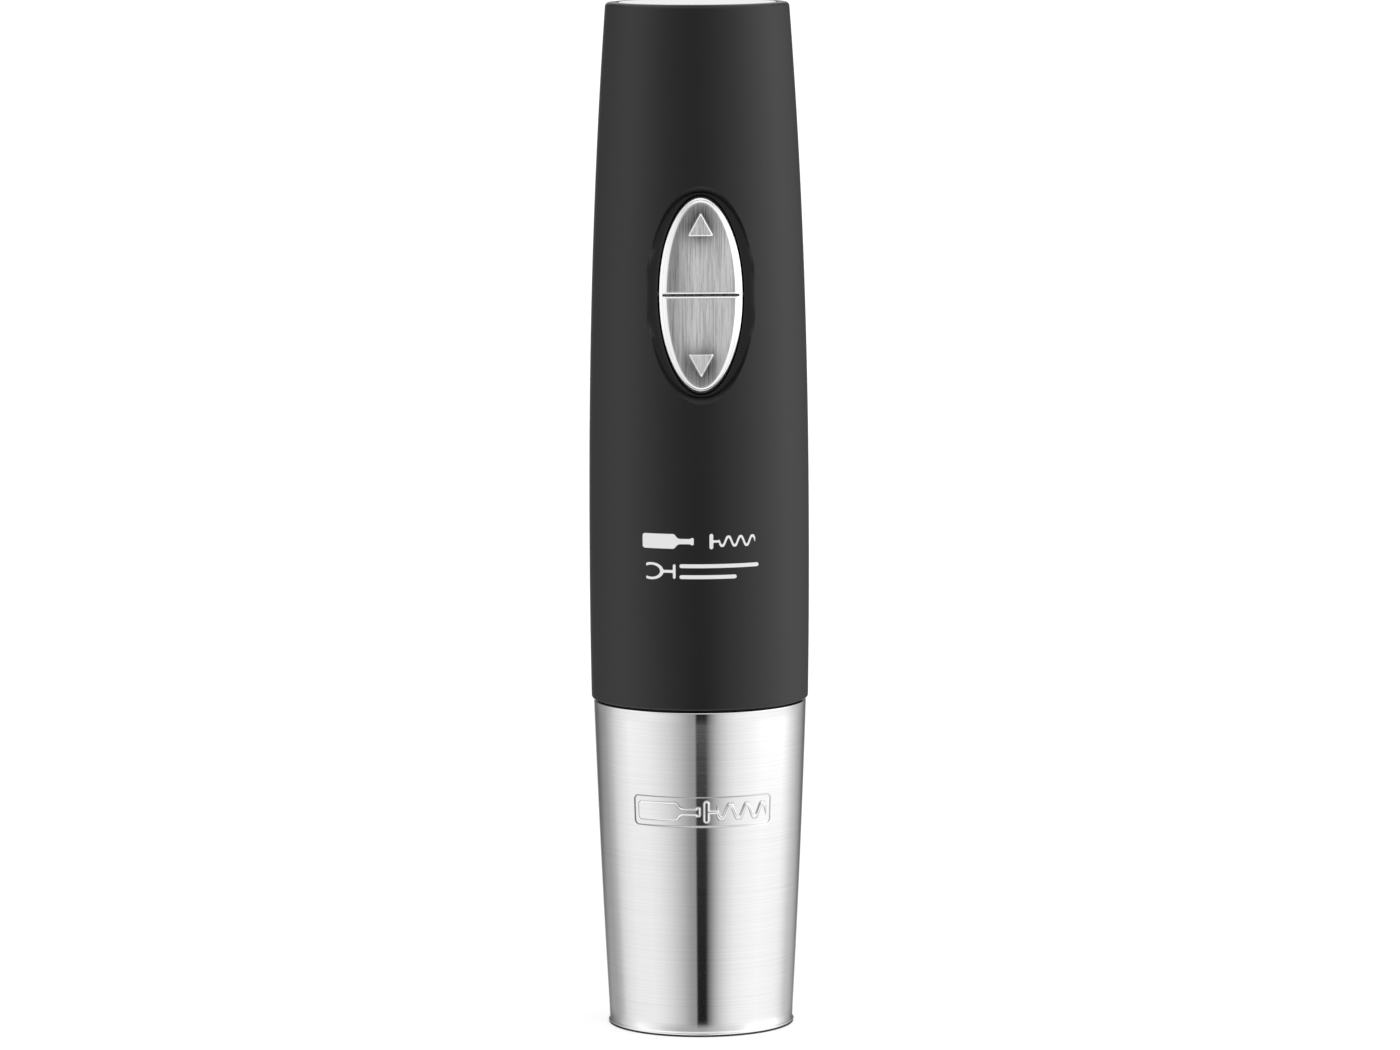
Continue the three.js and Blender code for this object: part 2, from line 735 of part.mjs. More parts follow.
function rockerPlate() {
  const bevel = 0.5;
  const geometry = new THREE.ExtrudeGeometry(ellipse(PLATE_A - bevel, PLATE_B - bevel), {
    depth: PLATE_THICK - bevel,
    bevelEnabled: true,
    bevelThickness: bevel,
    bevelSize: bevel,
    bevelSegments: 1,
    curveSegments: 22,
  });
  const low = PLATE_PROUD - PLATE_THICK;
  const blank = solidOf(geometry.translate(0, 0, low));
  const plate = blank.intersect(block([-20, -40, low], [20, 40, PLATE_PROUD + 2]));
  const arrow = (side) => {
    const shape = new THREE.Shape([
      new THREE.Vector2(-3.25, side * 15),
      new THREE.Vector2(3.25, side * 15),
      new THREE.Vector2(0, side * 20.9),
    ]);
    return slab(shape, PLATE_PROUD - 0.4, PLATE_PROUD + 0.35);
  };
  const groove = block([-9.7, -0.35, PLATE_PROUD - 0.6], [9.7, 0.35, PLATE_PROUD + 1]);
  return cut(join(plate, arrow(1), arrow(-1)), groove);
}

function rockerCarrier() {
  const front = PLATE_PROUD - PLATE_THICK - GAP;
  const body = slab(ellipse(PLATE_A - 0.5, PLATE_B - 0.6), -5, front, 14);
  const tabs = [-1, 1].map((side) => block([-4, side * 25 - 2.4, -5], [4, side * 25 + 2.4, -3.7]));
  const boss = block([-9.9, -2.4, PIVOT_W - 1.8], [9.9, 2.4, front]);
  return cut(join(body, ...tabs, boss), rodAlongX(0, PIVOT_W, PIVOT_R + GAP, -12, 12, 12));
}

const boardTop = -8;
const switchPlaces = [10.5, -10.5];
const springPlaces = [5.1, -5.1];

function switchBoard() {
  const shape = roundedRectangle(6.5, 17.4, 1);
  for (const side of [-1, 1]) {
    shape.holes.push(new THREE.Path().absarc(side * 4.8, -14.6, 0.9, 0, 2 * Math.PI));
  }
  return slab(shape, boardTop - 1.2, boardTop, 4).translate([0, -3.8, 0]);
}

function tactSwitch(y) {
  const body = block([-3, y - 3, boardTop + GAP], [3, y + 3, -6.3]);
  return join(body, rod(0, y, 1.6, -6.5, -5.75, 12));
}

class SpringPath extends THREE.Curve {
  constructor(y) {
    super();
    this.y = y;
  }

  getPoint(t, target = new THREE.Vector3()) {
    const angle = 2 * Math.PI * 2.5 * t;
    const rise = boardTop + 0.6 + 1.8 * t;
    return target.set(1.4 * Math.cos(angle), this.y + 1.4 * Math.sin(angle), rise);
  }
}

function rockerSpring(y) {
  const section = new THREE.Shape().absarc(0, 0, 0.22, 0, 2 * Math.PI);
  const options = { steps: 20, bevelEnabled: false, extrudePath: new SpringPath(y), curveSegments: 2 };
  return solidOf(new THREE.ExtrudeGeometry(section, options));
}

function addRocker() {
  rockerFrame.add(
    makeMesh('rocker_plate', rockerPlate(), 'brushed_steel'),
    makeMesh('rocker_carrier', rockerCarrier(), 'dark_plastic'),
    makeMesh('rocker_pivot_pin', rodAlongX(0, PIVOT_W, PIVOT_R, -12.4, 12.4, 12), 'gear_steel'),
    makeMesh('switch_board', switchBoard(), 'board_green'),
    makeMesh('switch_upper', tactSwitch(switchPlaces[0]), 'dark_plastic'),
    makeMesh('switch_lower', tactSwitch(switchPlaces[1]), 'dark_plastic'),
    makeMesh('rocker_spring_upper', rockerSpring(springPlaces[0]), 'polished_steel'),
    makeMesh('rocker_spring_lower', rockerSpring(springPlaces[1]), 'polished_steel'),
  );
  return rockerFrame;
}

// ---- the assembly -----------------------------------------------------------------------------

const opener = new THREE.Group();

opener.add(
  makeMesh('front_shell', frontShell(), 'soft_black'),
  makeMesh('rear_shell', rearShell(), 'soft_black'),
  makeMesh('end_cap', endCap(), 'brushed_steel'),
  makeMesh('steel_collar', steelCollar(), 'brushed_steel'),
  makeMesh('mouth_ring', mouthRing(), 'dark_plastic'),
  makeMesh('chamber_tube', chamberTube(), 'dark_plastic'),
  makeMesh('charge_lead_left', chargeLead(-1), 'lead_red'),
  makeMesh('charge_lead_right', chargeLead(1), 'lead_red'),
  makeMesh('gearbox_nose_plate', nosePlate(), 'gear_steel'),
  makeMesh('ring_gear_housing', ringGearHousing(), 'dark_plastic'),
  makeMesh('motor_mount_plate', motorMountPlate(), 'gear_steel'),
  makeMesh('output_carrier', outputCarrier(), 'gear_steel'),
  makeMesh('second_carrier', sunCarrier(2), 'gear_steel'),
  makeMesh('first_carrier', sunCarrier(1), 'gear_steel'),
  makeMesh('worm_hub', wormHub(), 'dark_plastic'),
  makeMesh('worm', wormWire(), 'polished_steel'),
  makeMesh('motor_can', motorCan(), 'gear_steel'),
  makeMesh('motor_end_bell', motorEndBell(), 'dark_plastic'),
  makeMesh('motor_magnet_left', motorMagnet(Math.PI), 'magnet_grey'),
  makeMesh('motor_magnet_right', motorMagnet(0), 'magnet_grey'),
  makeMesh('motor_shaft', motorShaft(), 'gear_steel'),
  makeMesh('sun_pinion', sunPinion(), 'contact_brass'),
  makeMesh('rotor_core', rotorCore(), 'gear_steel'),
  makeMesh('rotor_windings', rotorWindings(), 'copper'),
  makeMesh('commutator', commutator(), 'copper'),
  makeMesh('battery_tray', batteryTray(), 'dark_plastic'),
  makeMesh('cell_link_lower_left', cellLink(-CELL_OFFSET, CELL_Z - 1.1), 'gear_steel'),
  makeMesh('cell_link_lower_right', cellLink(CELL_OFFSET, CELL_Z - 1.1), 'gear_steel'),
  makeMesh('cell_link_upper', cellLink(CELL_OFFSET, CELL_Z + CELL_LENGTH + 1.5), 'gear_steel'),
  planetMeshes(),
  batteryMeshes(),
  addRocker(),
);

['left', 'right'].forEach((side, i) => {
  const sign = i === 0 ? -1 : 1;
  const contact = makeMesh(`charge_contact_${side}`, chargeContact(), 'contact_brass');
  contact.position.set(sign * LEAD_X, LEAD_Y, 0);
  const screw = makeMesh(`motor_screw_${side}`, motorScrew(), 'gear_steel');
  screw.position.x = sign * motorScrewX;
  const terminal = makeMesh(`motor_terminal_${side}`, motorTerminal(), 'contact_brass');
  terminal.rotation.z = i === 0 ? Math.PI : 0;
  opener.add(contact, screw, terminal);
});

screwPlaces.forEach(([x, z], i) => {
  const screw = makeMesh(`shell_screw_${i + 1}`, shellScrew(), 'gear_steel');
  screw.position.set(x, 0, z);
  opener.add(screw);
});

export default opener;
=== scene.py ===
# %% [markdown]
# # A cordless wine opener
# This lesson dresses a finished mechanical model of an upright electric wine opener. The CAD frame
# already holds every part, size and joint. Here each visible surface gets a fine mesh, worked out
# with numpy, and every part gets a procedural finish. Lengths in the shape functions are in
# millimetres, and one function turns them into metres when it makes a mesh.

# %% Load the frame
import json
import math

import bpy
import numpy as np
from mathutils import Matrix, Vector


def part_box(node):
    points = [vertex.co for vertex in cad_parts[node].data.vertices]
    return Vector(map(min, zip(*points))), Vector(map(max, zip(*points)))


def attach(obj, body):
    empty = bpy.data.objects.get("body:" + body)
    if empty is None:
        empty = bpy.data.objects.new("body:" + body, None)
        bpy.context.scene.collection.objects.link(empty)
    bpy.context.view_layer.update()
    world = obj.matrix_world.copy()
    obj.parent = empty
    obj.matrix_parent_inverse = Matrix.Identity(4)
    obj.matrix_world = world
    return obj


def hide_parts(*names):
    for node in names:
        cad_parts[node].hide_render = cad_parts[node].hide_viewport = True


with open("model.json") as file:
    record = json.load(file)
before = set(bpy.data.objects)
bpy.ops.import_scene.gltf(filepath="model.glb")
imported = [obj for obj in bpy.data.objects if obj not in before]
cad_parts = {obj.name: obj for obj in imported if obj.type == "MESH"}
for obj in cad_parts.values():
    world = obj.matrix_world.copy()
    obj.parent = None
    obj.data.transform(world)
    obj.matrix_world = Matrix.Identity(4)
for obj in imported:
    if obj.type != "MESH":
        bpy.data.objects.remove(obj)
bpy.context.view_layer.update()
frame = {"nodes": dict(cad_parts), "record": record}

MM = 0.001

# %% [markdown]
# ## Sizes taken from the frame
# A piece has to sit where the mechanism says, so some sizes are measured on the CAD nodes: the two
# shells give the barrel's width and ends, the collar its foot and top, the plate the button's half-width.
# The barrel's taper, the collar's cone, the button's height and recess, and the small things that the frame
# leaves out, such as edge rounding, are new numbers.

# %% Measure the frame
def box_mm(node):
    """A node's lowest and highest corner, in millimetres."""
    low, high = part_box(node)
    return np.array(low) / MM, np.array(high) / MM


shell_low, shell_high = box_mm("front_shell")
collar_low, collar_high = box_mm("steel_collar")
cap_low, cap_high = box_mm("end_cap")
chamber_low, chamber_high = box_mm("chamber_tube")

SHELL_FOOT_Z, SHELL_TOP_Z = shell_low[2], shell_high[2]
WIDEST_R = shell_high[0]
WIDEST_Z = 126.0
TAPER, TAPER_POWER = 1.19e-4, 2.15
CAP_R = cap_high[0]
COLLAR_FOOT_Z, COLLAR_TOP_Z = collar_low[2], collar_high[2]
MOUTH_R, MOUTH_EDGE, MOUTH_TOP_Z = box_mm("mouth_ring")[1][0], 0.35, 1.0
COLLAR_LIP_R = 24.12
PLATE_A, PLATE_B = box_mm("rocker_plate")[1][0], 25.0
BUTTON_Z = 191.3
BUTTON_TILT = math.radians(1.8)
RECESS_A, RECESS_B, RECESS_Y = 13.75, 26.75, -23.8
print(f"barrel {2 * WIDEST_R:.1f} mm wide, shells from {SHELL_FOOT_Z:.1f} to {SHELL_TOP_Z:.1f} mm")


def barrel_radius(z):
    """Widest radius minus a constant times the distance from the widest height to a power."""
    return WIDEST_R - TAPER * np.abs(z - WIDEST_Z) ** TAPER_POWER


def collar_radius(z):
    """A cone with a slight bow: a constant, plus a slope times height, minus a small square term."""
    return 23.7 + 0.0565 * z - 1.3e-4 * z * z


# %% [markdown]
# ## The camera
# The view is from slightly above and far away, through a long lens, and a touch to the left of the
# button. A long lens keeps the barrel's sides nearly straight. The camera comes first, because
# every later choice is judged through it.

# %% Place the camera
CAMERA_DISTANCE = 1.701
CAMERA_HEIGHT = 0.3266
CAMERA_AZIMUTH = math.radians(-1.6)
CAMERA_PITCH = math.radians(6.6)
CAMERA_ROLL = math.radians(-0.226)
CAMERA_PAN = math.radians(-0.007)
CAMERA_LENS = 170.4

camera_data = bpy.data.cameras.new("product_camera")
camera_data.sensor_width = 36.0
camera_data.lens = CAMERA_LENS
camera = bpy.data.objects.new("product_camera", camera_data)
camera.location = (
    CAMERA_DISTANCE * math.sin(CAMERA_AZIMUTH),
    -CAMERA_DISTANCE * math.cos(CAMERA_AZIMUTH),
    CAMERA_HEIGHT,
)
turn = Matrix.Rotation(CAMERA_AZIMUTH + CAMERA_PAN, 4, "Z")
tip = Matrix.Rotation(math.pi / 2 - CAMERA_PITCH, 4, "X")
roll = Matrix.Rotation(CAMERA_ROLL, 4, "Z")
camera.rotation_euler = (turn @ tip @ roll).to_euler()
bpy.context.scene.collection.objects.link(camera)
bpy.context.scene.camera = camera
print("camera at", tuple(round(c, 3) for c in camera.location))

# %% [markdown]
# ## Meshes from rings
# Nearly everything here is turned, extruded or moulded, so one idea makes it all: a stack of closed
# rings of points, skinned with quads. A lathe shape, a wire, a button pad and a screw head differ
# only in where their rings go. A pole closes a ring stack with a fan of triangles.

# %% Faces between rings
def joined(lower, upper):
    """Quads between two stacks of index rings: point i and i+1 below, then i+1 and i above."""
    return np.stack([lower, np.roll(lower, -1, 1), np.roll(upper, -1, 1), upper], -1).reshape(-1, 4)


def skin(rings, looped=False, start_pole=False, end_pole=False):
    """Points and faces of a tube through the rings; a pole is the mean of its end ring."""
    count, around = rings.shape[:2]
    index = np.arange(count * around).reshape(count, around)
    lower = index if looped else index[:-1]
    upper = np.roll(index, -1, 0) if looped else index[1:]
    quads = joined(lower, upper)
    points = rings.reshape(-1, 3)
    fans = []
    for wanted, ring, flip in ((start_pole, 0, True), (end_pole, -1, False)):
        if wanted:
            pole = np.full(around, len(points))
            points = np.vstack([points, rings[ring].mean(0)])
            rim, following = index[ring], np.roll(index[ring], -1)
            fans.append(np.stack([following, rim, pole] if flip else [rim, following, pole], -1))
    return points, quads, np.vstack(fans) if fans else np.zeros((0, 3), int)


# %% Make a mesh, and settle it on its body
def signed_volume(points, triangles):
    """One sixth of the sum of corner a dot (corner b cross corner c)."""
    a, b, c = (points[triangles[:, k]] for k in range(3))
    return (a * np.cross(b, c)).sum() / 6


def make_piece(name, points, quads, fans=None, closed=True, sharp=35.0):
    """A mesh object from point rows in millimetres and face rows, smooth but for edges past an angle."""
    fans = np.zeros((0, 3), int) if fans is None else fans
    if closed:
        triangles = np.vstack([quads[:, [0, 1, 2]], quads[:, [0, 2, 3]], fans])
        if signed_volume(points, triangles) < 0:
            quads, fans = quads[:, ::-1], fans[:, ::-1]
    corners = np.concatenate([quads.ravel(), fans.ravel()]).astype(np.int32)
    sizes = np.concatenate([np.full(len(quads), 4), np.full(len(fans), 3)])
    mesh = bpy.data.meshes.new(name)
    mesh.vertices.add(len(points))
    mesh.vertices.foreach_set("co", (points * MM).astype(np.float32).ravel())
    mesh.loops.add(len(corners))
    mesh.loops.foreach_set("vertex_index", corners)
    mesh.polygons.add(len(sizes))
    mesh.polygons.foreach_set("loop_start", (np.cumsum(sizes) - sizes).astype(np.int32))
    mesh.update(calc_edges=True)
    mesh.validate()
    mesh.polygons.foreach_set("use_smooth", np.ones(len(mesh.polygons), bool))
    mesh.set_sharp_from_angle(angle=math.radians(sharp))
    piece = bpy.data.objects.new(name, mesh)
    bpy.context.scene.collection.objects.link(piece)
    return piece


def write_values(piece, name, values):
    """A number for each vertex, for the shader to read by name."""
    layer = piece.data.attributes.new(name, "FLOAT", "POINT")
    layer.data.foreach_set("value", np.asarray(values, np.float32).ravel())


def settle(piece, body, slot, material, *replaced):
    """Puts a finished piece on its body, with its finish and the CAD nodes that it stands for."""
    piece.data.materials.append(material)
    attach(piece, body)
    if replaced:
        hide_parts(*replaced)
    print(f"{piece.name}: {len(piece.data.polygons)} faces on {body}")
    return piece


# %% Circles, arcs and lathe shapes
def circle(count):
    """Angles evenly round a full turn."""
    return np.arange(count) * 2 * np.pi / count


def turned_rings(profile, angles):
    """x = r sin a, y = -r cos a, z = height, for each profile point (r, height) and each angle a."""
    radius, height = np.asarray(profile, float).T
    x = radius[:, None] * np.sin(angles)
    y = -radius[:, None] * np.cos(angles)
    return np.stack([x, y, np.broadcast_to(height[:, None], x.shape)], -1)


def arc(centre_r, centre_z, radius, start, stop, steps=6):
    """Points on a circle in the (radius, height) plane, from one angle in degrees to another."""
    angle = np.radians(np.linspace(start, stop, steps + 1))
    return [(centre_r + radius * math.cos(a), centre_z + radius * math.sin(a)) for a in angle]


def smoothstep(low, high, value):
    """3t squared minus 2t cubed, with t the share of the way from low to high."""
    t = np.clip((value - low) / (high - low), 0, 1)
    return t * t * (3 - 2 * t)


# %% [markdown]
# ## Shader expressions
# A finish is maths on coordinates. Wiring that by hand hides the idea, so a small class wraps a
# socket and lets Python operators add the Math nodes, and one method adds any other kind of node.

# %% A class for sockets
class Value:
    """One number coming out of a node; operators on it add Math nodes."""

    def __init__(self, finish, socket):
        self.finish, self.socket = finish, socket

    def math(self, operation, *others):
        return self.finish.node("ShaderNodeMath", {"operation": operation}, self, *others)

    def __add__(self, other):
        return self.math("ADD", other)

    def __sub__(self, other):
        return self.math("SUBTRACT", other)

    def __mul__(self, other):
        return self.math("MULTIPLY", other)

    def __truediv__(self, other):
        return self.math("DIVIDE", other)

    def __rsub__(self, other):
        return self.finish.node("ShaderNodeMath", {"operation": "SUBTRACT"}, other, self)

    def __rtruediv__(self, other):
        return self.finish.node("ShaderNodeMath", {"operation": "DIVIDE"}, other, self)

    __radd__, __rmul__ = __add__, __mul__

    def clamp(self):
        return self.finish.node("ShaderNodeClamp", {}, self)


# %% A class for finishes
class Finish:
    """A material's node tree, with one method that adds a node."""

    def __init__(self, name, tree=None):
        if tree is None:
            self.material = bpy.data.materials.new(name)
            self.material.use_nodes = True
            tree = self.material.node_tree
            tree.nodes.clear()
        self.tree = tree

    def node(self, kind, settings, *inputs, output=0, **named):
        """Adds a node, sets it up, then fills its sockets in order or by name; returns one output."""
        made = self.tree.nodes.new(kind)
        for key, setting in settings.items():
            if key == "stops":
                ramp = made.color_ramp.elements
                while len(ramp) < len(setting):
                    ramp.new(0.5)
                for element, (place, colour) in zip(ramp, setting):
                    element.position, element.color = place, colour
            else:
                setattr(made, key, setting)
        given = list(enumerate(inputs)) + [(name.replace("_", " "), v) for name, v in named.items()]
        for key, value in given:
            if isinstance(value, Value):
                self.tree.links.new(value.socket, made.inputs[key])
            else:
                made.inputs[key].default_value = value
        return Value(self, made.outputs[output])

    def place(self):
        """Object coordinates, in metres."""
        return self.node("ShaderNodeTexCoord", {}, output="Object")

    def noise(self, scale, stretch=(1, 1, 1), detail=3.0, roughness=0.55):
        """Noise from nought to one: a small stretch along an axis draws the grain out that way."""
        vector = self.node("ShaderNodeMapping", {}, self.place(), Scale=stretch)
        return self.node(
            "ShaderNodeTexNoise", {}, Vector=vector, Scale=scale, Detail=detail, Roughness=roughness
        )

    def blend(self, factor, first, second):
        """A colour between two, through a Mix node."""
        made = self.tree.nodes.new("ShaderNodeMix")
        made.data_type = "RGBA"
        for key, value in ((0, factor), (6, first), (7, second)):
            if isinstance(value, Value):
                self.tree.links.new(value.socket, made.inputs[key])
            else:
                made.inputs[key].default_value = value
        return Value(self, made.outputs[2])

    def bump(self, height, distance, strength=1.0):
        """A normal that leans with a height."""
        return self.node("ShaderNodeBump", {}, Height=height, Distance=distance, Strength=strength)

    def surface(self, constants=None, **links):
        """The Principled shader: constants go on its own sockets, and what varies is linked."""
        shader = self.tree.nodes.new("ShaderNodeBsdfPrincipled")
        for name, value in (constants or {}).items():
            shader.inputs[name].default_value = value
        for name, value in links.items():
            self.tree.links.new(value.socket, shader.inputs[name.replace("_", " ")])
        output = self.tree.nodes.new("ShaderNodeOutputMaterial")
        self.tree.links.new(shader.outputs[0], output.inputs[0])
        return self.material


# %% [markdown]
# ## The finishes
# The handle is moulded plastic under a soft-touch paint: nearly black, with a very fine pebble that
# spreads its highlights. The collar is stainless steel brushed round and round, so its noise is
# long across and very short along the height. The button is brushed up and down instead, and its
# rim is polished. Each inner part gets a plainer finish of its own kind.

# %% Soft-touch black, with white ink where the shell carries a mark
def soft_touch(name, inked=False):
    finish = Finish(name)
    broad = finish.noise(60.0, detail=2.0)
    pebble = finish.noise(5200.0, detail=2.0, roughness=0.6)
    dust = finish.noise(900.0, detail=4.0)
    colour = finish.blend(broad, (0.0035, 0.0035, 0.0037, 1), (0.0055, 0.0055, 0.0057, 1))
    rough = broad * 0.04 + dust * 0.05 + 0.30
    if inked:
        distance = finish.node("ShaderNodeAttribute", {"attribute_name": "mark"}, output="Fac")
        ink = (0.5 - distance * 14.0).clamp()
        colour = finish.blend(ink, colour, (0.82, 0.82, 0.82, 1))
        rough = rough + ink * 0.08
    normal = finish.bump(pebble, 0.00002, 0.5)
    return finish.surface(
        {"Specular IOR Level": 0.5, "Metallic": 0.0},
        Base_Color=colour, Roughness=rough, Normal=normal,
    )


SOFT_BLACK = soft_touch("soft_touch_black")
SOFT_BLACK_MARKED = soft_touch("soft_touch_black_marked", inked=True)


# %% [markdown]
# ### Steels, copper and brass
# Brushing is thousands of fine scratches that run one way. One noise, stretched along them, changes
# the colour, the roughness and the bump together, so that the three agree as they do on metal.
# Anisotropy then smears reflections across the scratches. The stamped lines on the collar are
# darkened by a value that the mesh carries: painted shade in the stamp's creases, darkest along their top
# and left sides.

# %% Brushed and polished metal
def brushed(name, grain, tint=(0.80, 0.80, 0.805), rough=0.16, scale=420.0, depth=0.000006, spread=0.10,
            contrast=0.12, across=0.0, turn=0.0, shade_painted_in_creases=False):
    """Metal whose colour, roughness and bump follow one noise, drawn out by the grain's stretch.
    across spreads reflections over the scratches, and turn says which way the scratches run."""
    finish = Finish(name)
    fine = finish.noise(scale, grain, detail=3.0, roughness=0.7)
    dark = tuple(c * (1 - contrast) for c in tint) + (1,)
    light = tuple(min(c * (1 + contrast), 1.0) for c in tint) + (1,)
    colour = finish.blend(fine, dark, light)
    if shade_painted_in_creases:
        # painted shade: the stamp's outline and the signs' edges are darkened in the colour
        crease = finish.node("ShaderNodeAttribute", {"attribute_name": "crease"}, output="Fac")
        colour = finish.blend(crease * 0.85, colour, (0.10, 0.10, 0.10, 1))
    roughness = fine * spread + (rough - spread / 2)
    return finish.surface(
        {"Metallic": 1.0, "Anisotropic": across, "Anisotropic Rotation": turn},
        Base_Color=colour, Roughness=roughness, Normal=finish.bump(fine, depth),
    )


COLLAR_STEEL = brushed(
    "collar_steel_brushed_round", (0.05, 0.05, 10.0), tint=(0.93, 0.93, 0.93), rough=0.09, spread=0.03,
    contrast=0.13, across=0.85, turn=0.25, shade_painted_in_creases=True, depth=0.000003,
)
CAP_STEEL = brushed("cap_steel_brushed", (14.0, 0.09, 1.0), tint=(0.9, 0.9, 0.9), rough=0.2, depth=0.000001)
WORM_STEEL = brushed(
    "worm_steel_polished", (1.0, 1.0, 4.0), tint=(0.72, 0.72, 0.73), rough=0.15, spread=0.05
)
SCREW_STEEL = brushed("screw_steel", (1.0, 1.0, 1.0), tint=(0.36, 0.36, 0.38), rough=0.3, spread=0.1)
GEAR_STEEL = brushed(
    "gear_steel_machined", (1.0, 1.0, 5.0), tint=(0.42, 0.42, 0.44), rough=0.34, spread=0.12
)
COPPER = brushed("enamelled_copper", (1.0, 1.0, 12.0), tint=(0.72, 0.30, 0.13), rough=0.3, spread=0.1)
BRASS = brushed("contact_brass", (3.0, 3.0, 1.0), tint=(0.83, 0.62, 0.28), rough=0.22, spread=0.08)


# %% [markdown]
# ### The button's steel
# The button is brushed up and down and then darkened round its arrows, with painted shade on its left side,
# at its ends, in its groove and round the feet of its arrows, while its bevels stay bright. Both changes
# follow the shape, so the mesh carries them as two values: polish, which is one on a bevel, and a second
# value that says how grey and how shaded the brushed metal is painted.

# %% The button's steel
def button_steel():
    """Upright brushing under grey and painted shade, both fading out where the bevels are polished."""
    finish = Finish("button_steel_brushed_upright")
    fine = finish.noise(420.0, (7.0, 1.0, 0.22), detail=4.0, roughness=0.8)
    band = finish.noise(420.0, (2.2, 1.0, 0.05), detail=2.0)
    streak = ((fine * 0.7 + band * 0.3 - 0.5) * 4.2 + 0.78).clamp()
    polish = finish.node("ShaderNodeAttribute", {"attribute_name": "polish"}, output="Fac")
    wash = finish.node("ShaderNodeAttribute", {"attribute_name": "wash"}, output="Fac")
    colour = finish.blend(streak, (0.46, 0.46, 0.46, 1), (1.0, 1.0, 1.0, 1))
    # painted shade: the second mesh value darkens the metal, grey round the arrows and as shade on the
    # left, at the ends, in the groove and at the arrows' feet
    colour = finish.blend((wash * (1.35 - streak * 0.5)).clamp(), colour, (0.10, 0.10, 0.10, 1))
    colour = finish.blend(polish, colour, (0.99, 0.99, 0.99, 1))
    matt = 1 - polish
    return finish.surface(
        {"Metallic": 1.0, "Anisotropic": 0.5},
        Base_Color=colour,
        Roughness=(streak * 0.10 + 0.55) * matt + polish * 0.14,
        Normal=finish.bump(streak * matt, 0.00001),
    )


BUTTON_STEEL = button_steel()


# %% [markdown]
# ### Plastics, boards and the like
# The parts inside are seen only from below or when the body is opened. Each still gets a finish of
# its own kind, with two near colours, a roughness that varies a little and a faint texture.

# %% Plastics, boards and the like
def moulded(name, low, high, rough, speckle=1800.0, bump=0.00001, spread=0.1):
    """Plastic: two near colours mixed by noise, a roughness that follows it, and a faint texture."""
    finish = Finish(name)
    cloud = finish.noise(140.0, detail=3.0)
    grain = finish.noise(speckle, detail=3.0)
    return finish.surface(
        {"Metallic": 0.0},
        Base_Color=finish.blend(cloud, low + (1,), high + (1,)),
        Roughness=grain * spread + (rough - spread / 2),
        Normal=finish.bump(grain, bump),
    )


DARK_PLASTIC = moulded("dark_plastic", (0.008, 0.008, 0.009), (0.013, 0.013, 0.014), 0.42)
NYLON = moulded("natural_nylon", (0.62, 0.59, 0.51), (0.72, 0.69, 0.61), 0.5)
FERRITE = moulded("sintered_ferrite", (0.035, 0.035, 0.038), (0.07, 0.07, 0.075), 0.7)
BOARD = moulded("circuit_board", (0.012, 0.10, 0.035), (0.02, 0.14, 0.05), 0.4)
SLEEVE = moulded("cell_sleeve", (0.03, 0.22, 0.08), (0.045, 0.28, 0.10), 0.3)
LEAD = moulded("lead_insulation", (0.36, 0.015, 0.012), (0.45, 0.02, 0.015), 0.42)
print("finishes:", len(bpy.data.materials))

# %% [markdown]
# ### Finishes by slot
# Every node in the frame names the kind of surface it has. A table from that name to a finish
# dresses them all at once, and the fine pieces below then replace the ones that show.

# %% Give every CAD node its finish
FINISH_OF_SLOT = {
    "soft_black": SOFT_BLACK,
    "dark_plastic": DARK_PLASTIC,
    "white_nylon": NYLON,
    "brushed_steel": COLLAR_STEEL,
    "polished_steel": WORM_STEEL,
    "gear_steel": GEAR_STEEL,
    "magnet_grey": FERRITE,
    "copper": COPPER,
    "contact_brass": BRASS,
    "board_green": BOARD,
    "cell_wrap": SLEEVE,
    "lead_red": LEAD,
}
for row in frame["record"]["subparts"]:
    materials = frame["nodes"][row["node"]].data.materials
    materials.clear()
    materials.append(FINISH_OF_SLOT[row["material_slot"]])

# %% [markdown]
# ## Signs made of distances
# The handle carries a printed white mark and the collar a stamped panel. Neither shows any
# lettering here: both are made of three plain signs, for a bottle, a corkscrew and a glass. Each
# sign is a signed distance in millimetres, negative inside. The print thresholds it in its
# shader, and the stamp turns it into height.

# %% Distances to simple shapes
def to_segment(x, y, ax, ay, bx, by, radius):
    """Distance to the nearest point of a segment, minus a radius: a capsule."""
    dx, dy = bx - ax, by - ay
    share = np.clip(((x - ax) * dx + (y - ay) * dy) / (dx * dx + dy * dy), 0, 1)
    return np.hypot(x - ax - share * dx, y - ay - share * dy) - radius


def to_rounded_box(x, y, cx, cy, half_w, half_h, corner):
    """Distance to a rectangle shrunk by its corner radius, minus that radius."""
    qx = np.abs(x - cx) - half_w + corner
    qy = np.abs(y - cy) - half_h + corner
    outside = np.hypot(np.maximum(qx, 0), np.maximum(qy, 0))
    return outside + np.minimum(np.maximum(qx, qy), 0) - corner


def soft_union(a, b, width):
    """The smaller of two distances, rounded off where they are within a width of each other."""
    share = np.clip(0.5 + 0.5 * (b - a) / width, 0, 1)
    return b * (1 - share) + a * share - width * share * (1 - share)


def bottle_sign(x, y, size):
    """A bottle lying down, its neck to the right: a rounded box, a neck capsule and a lip."""
    x, y = x / size, y / size
    body = to_rounded_box(x, y, -1.6, 0, 3.2, 1.35, 0.5)
    neck = to_segment(x, y, 1.2, 0, 4.4, 0, 0.48)
    lip = to_rounded_box(x, y, 4.7, 0, 0.3, 0.66, 0.15)
    return np.minimum(soft_union(body, neck, 1.1), lip) * size


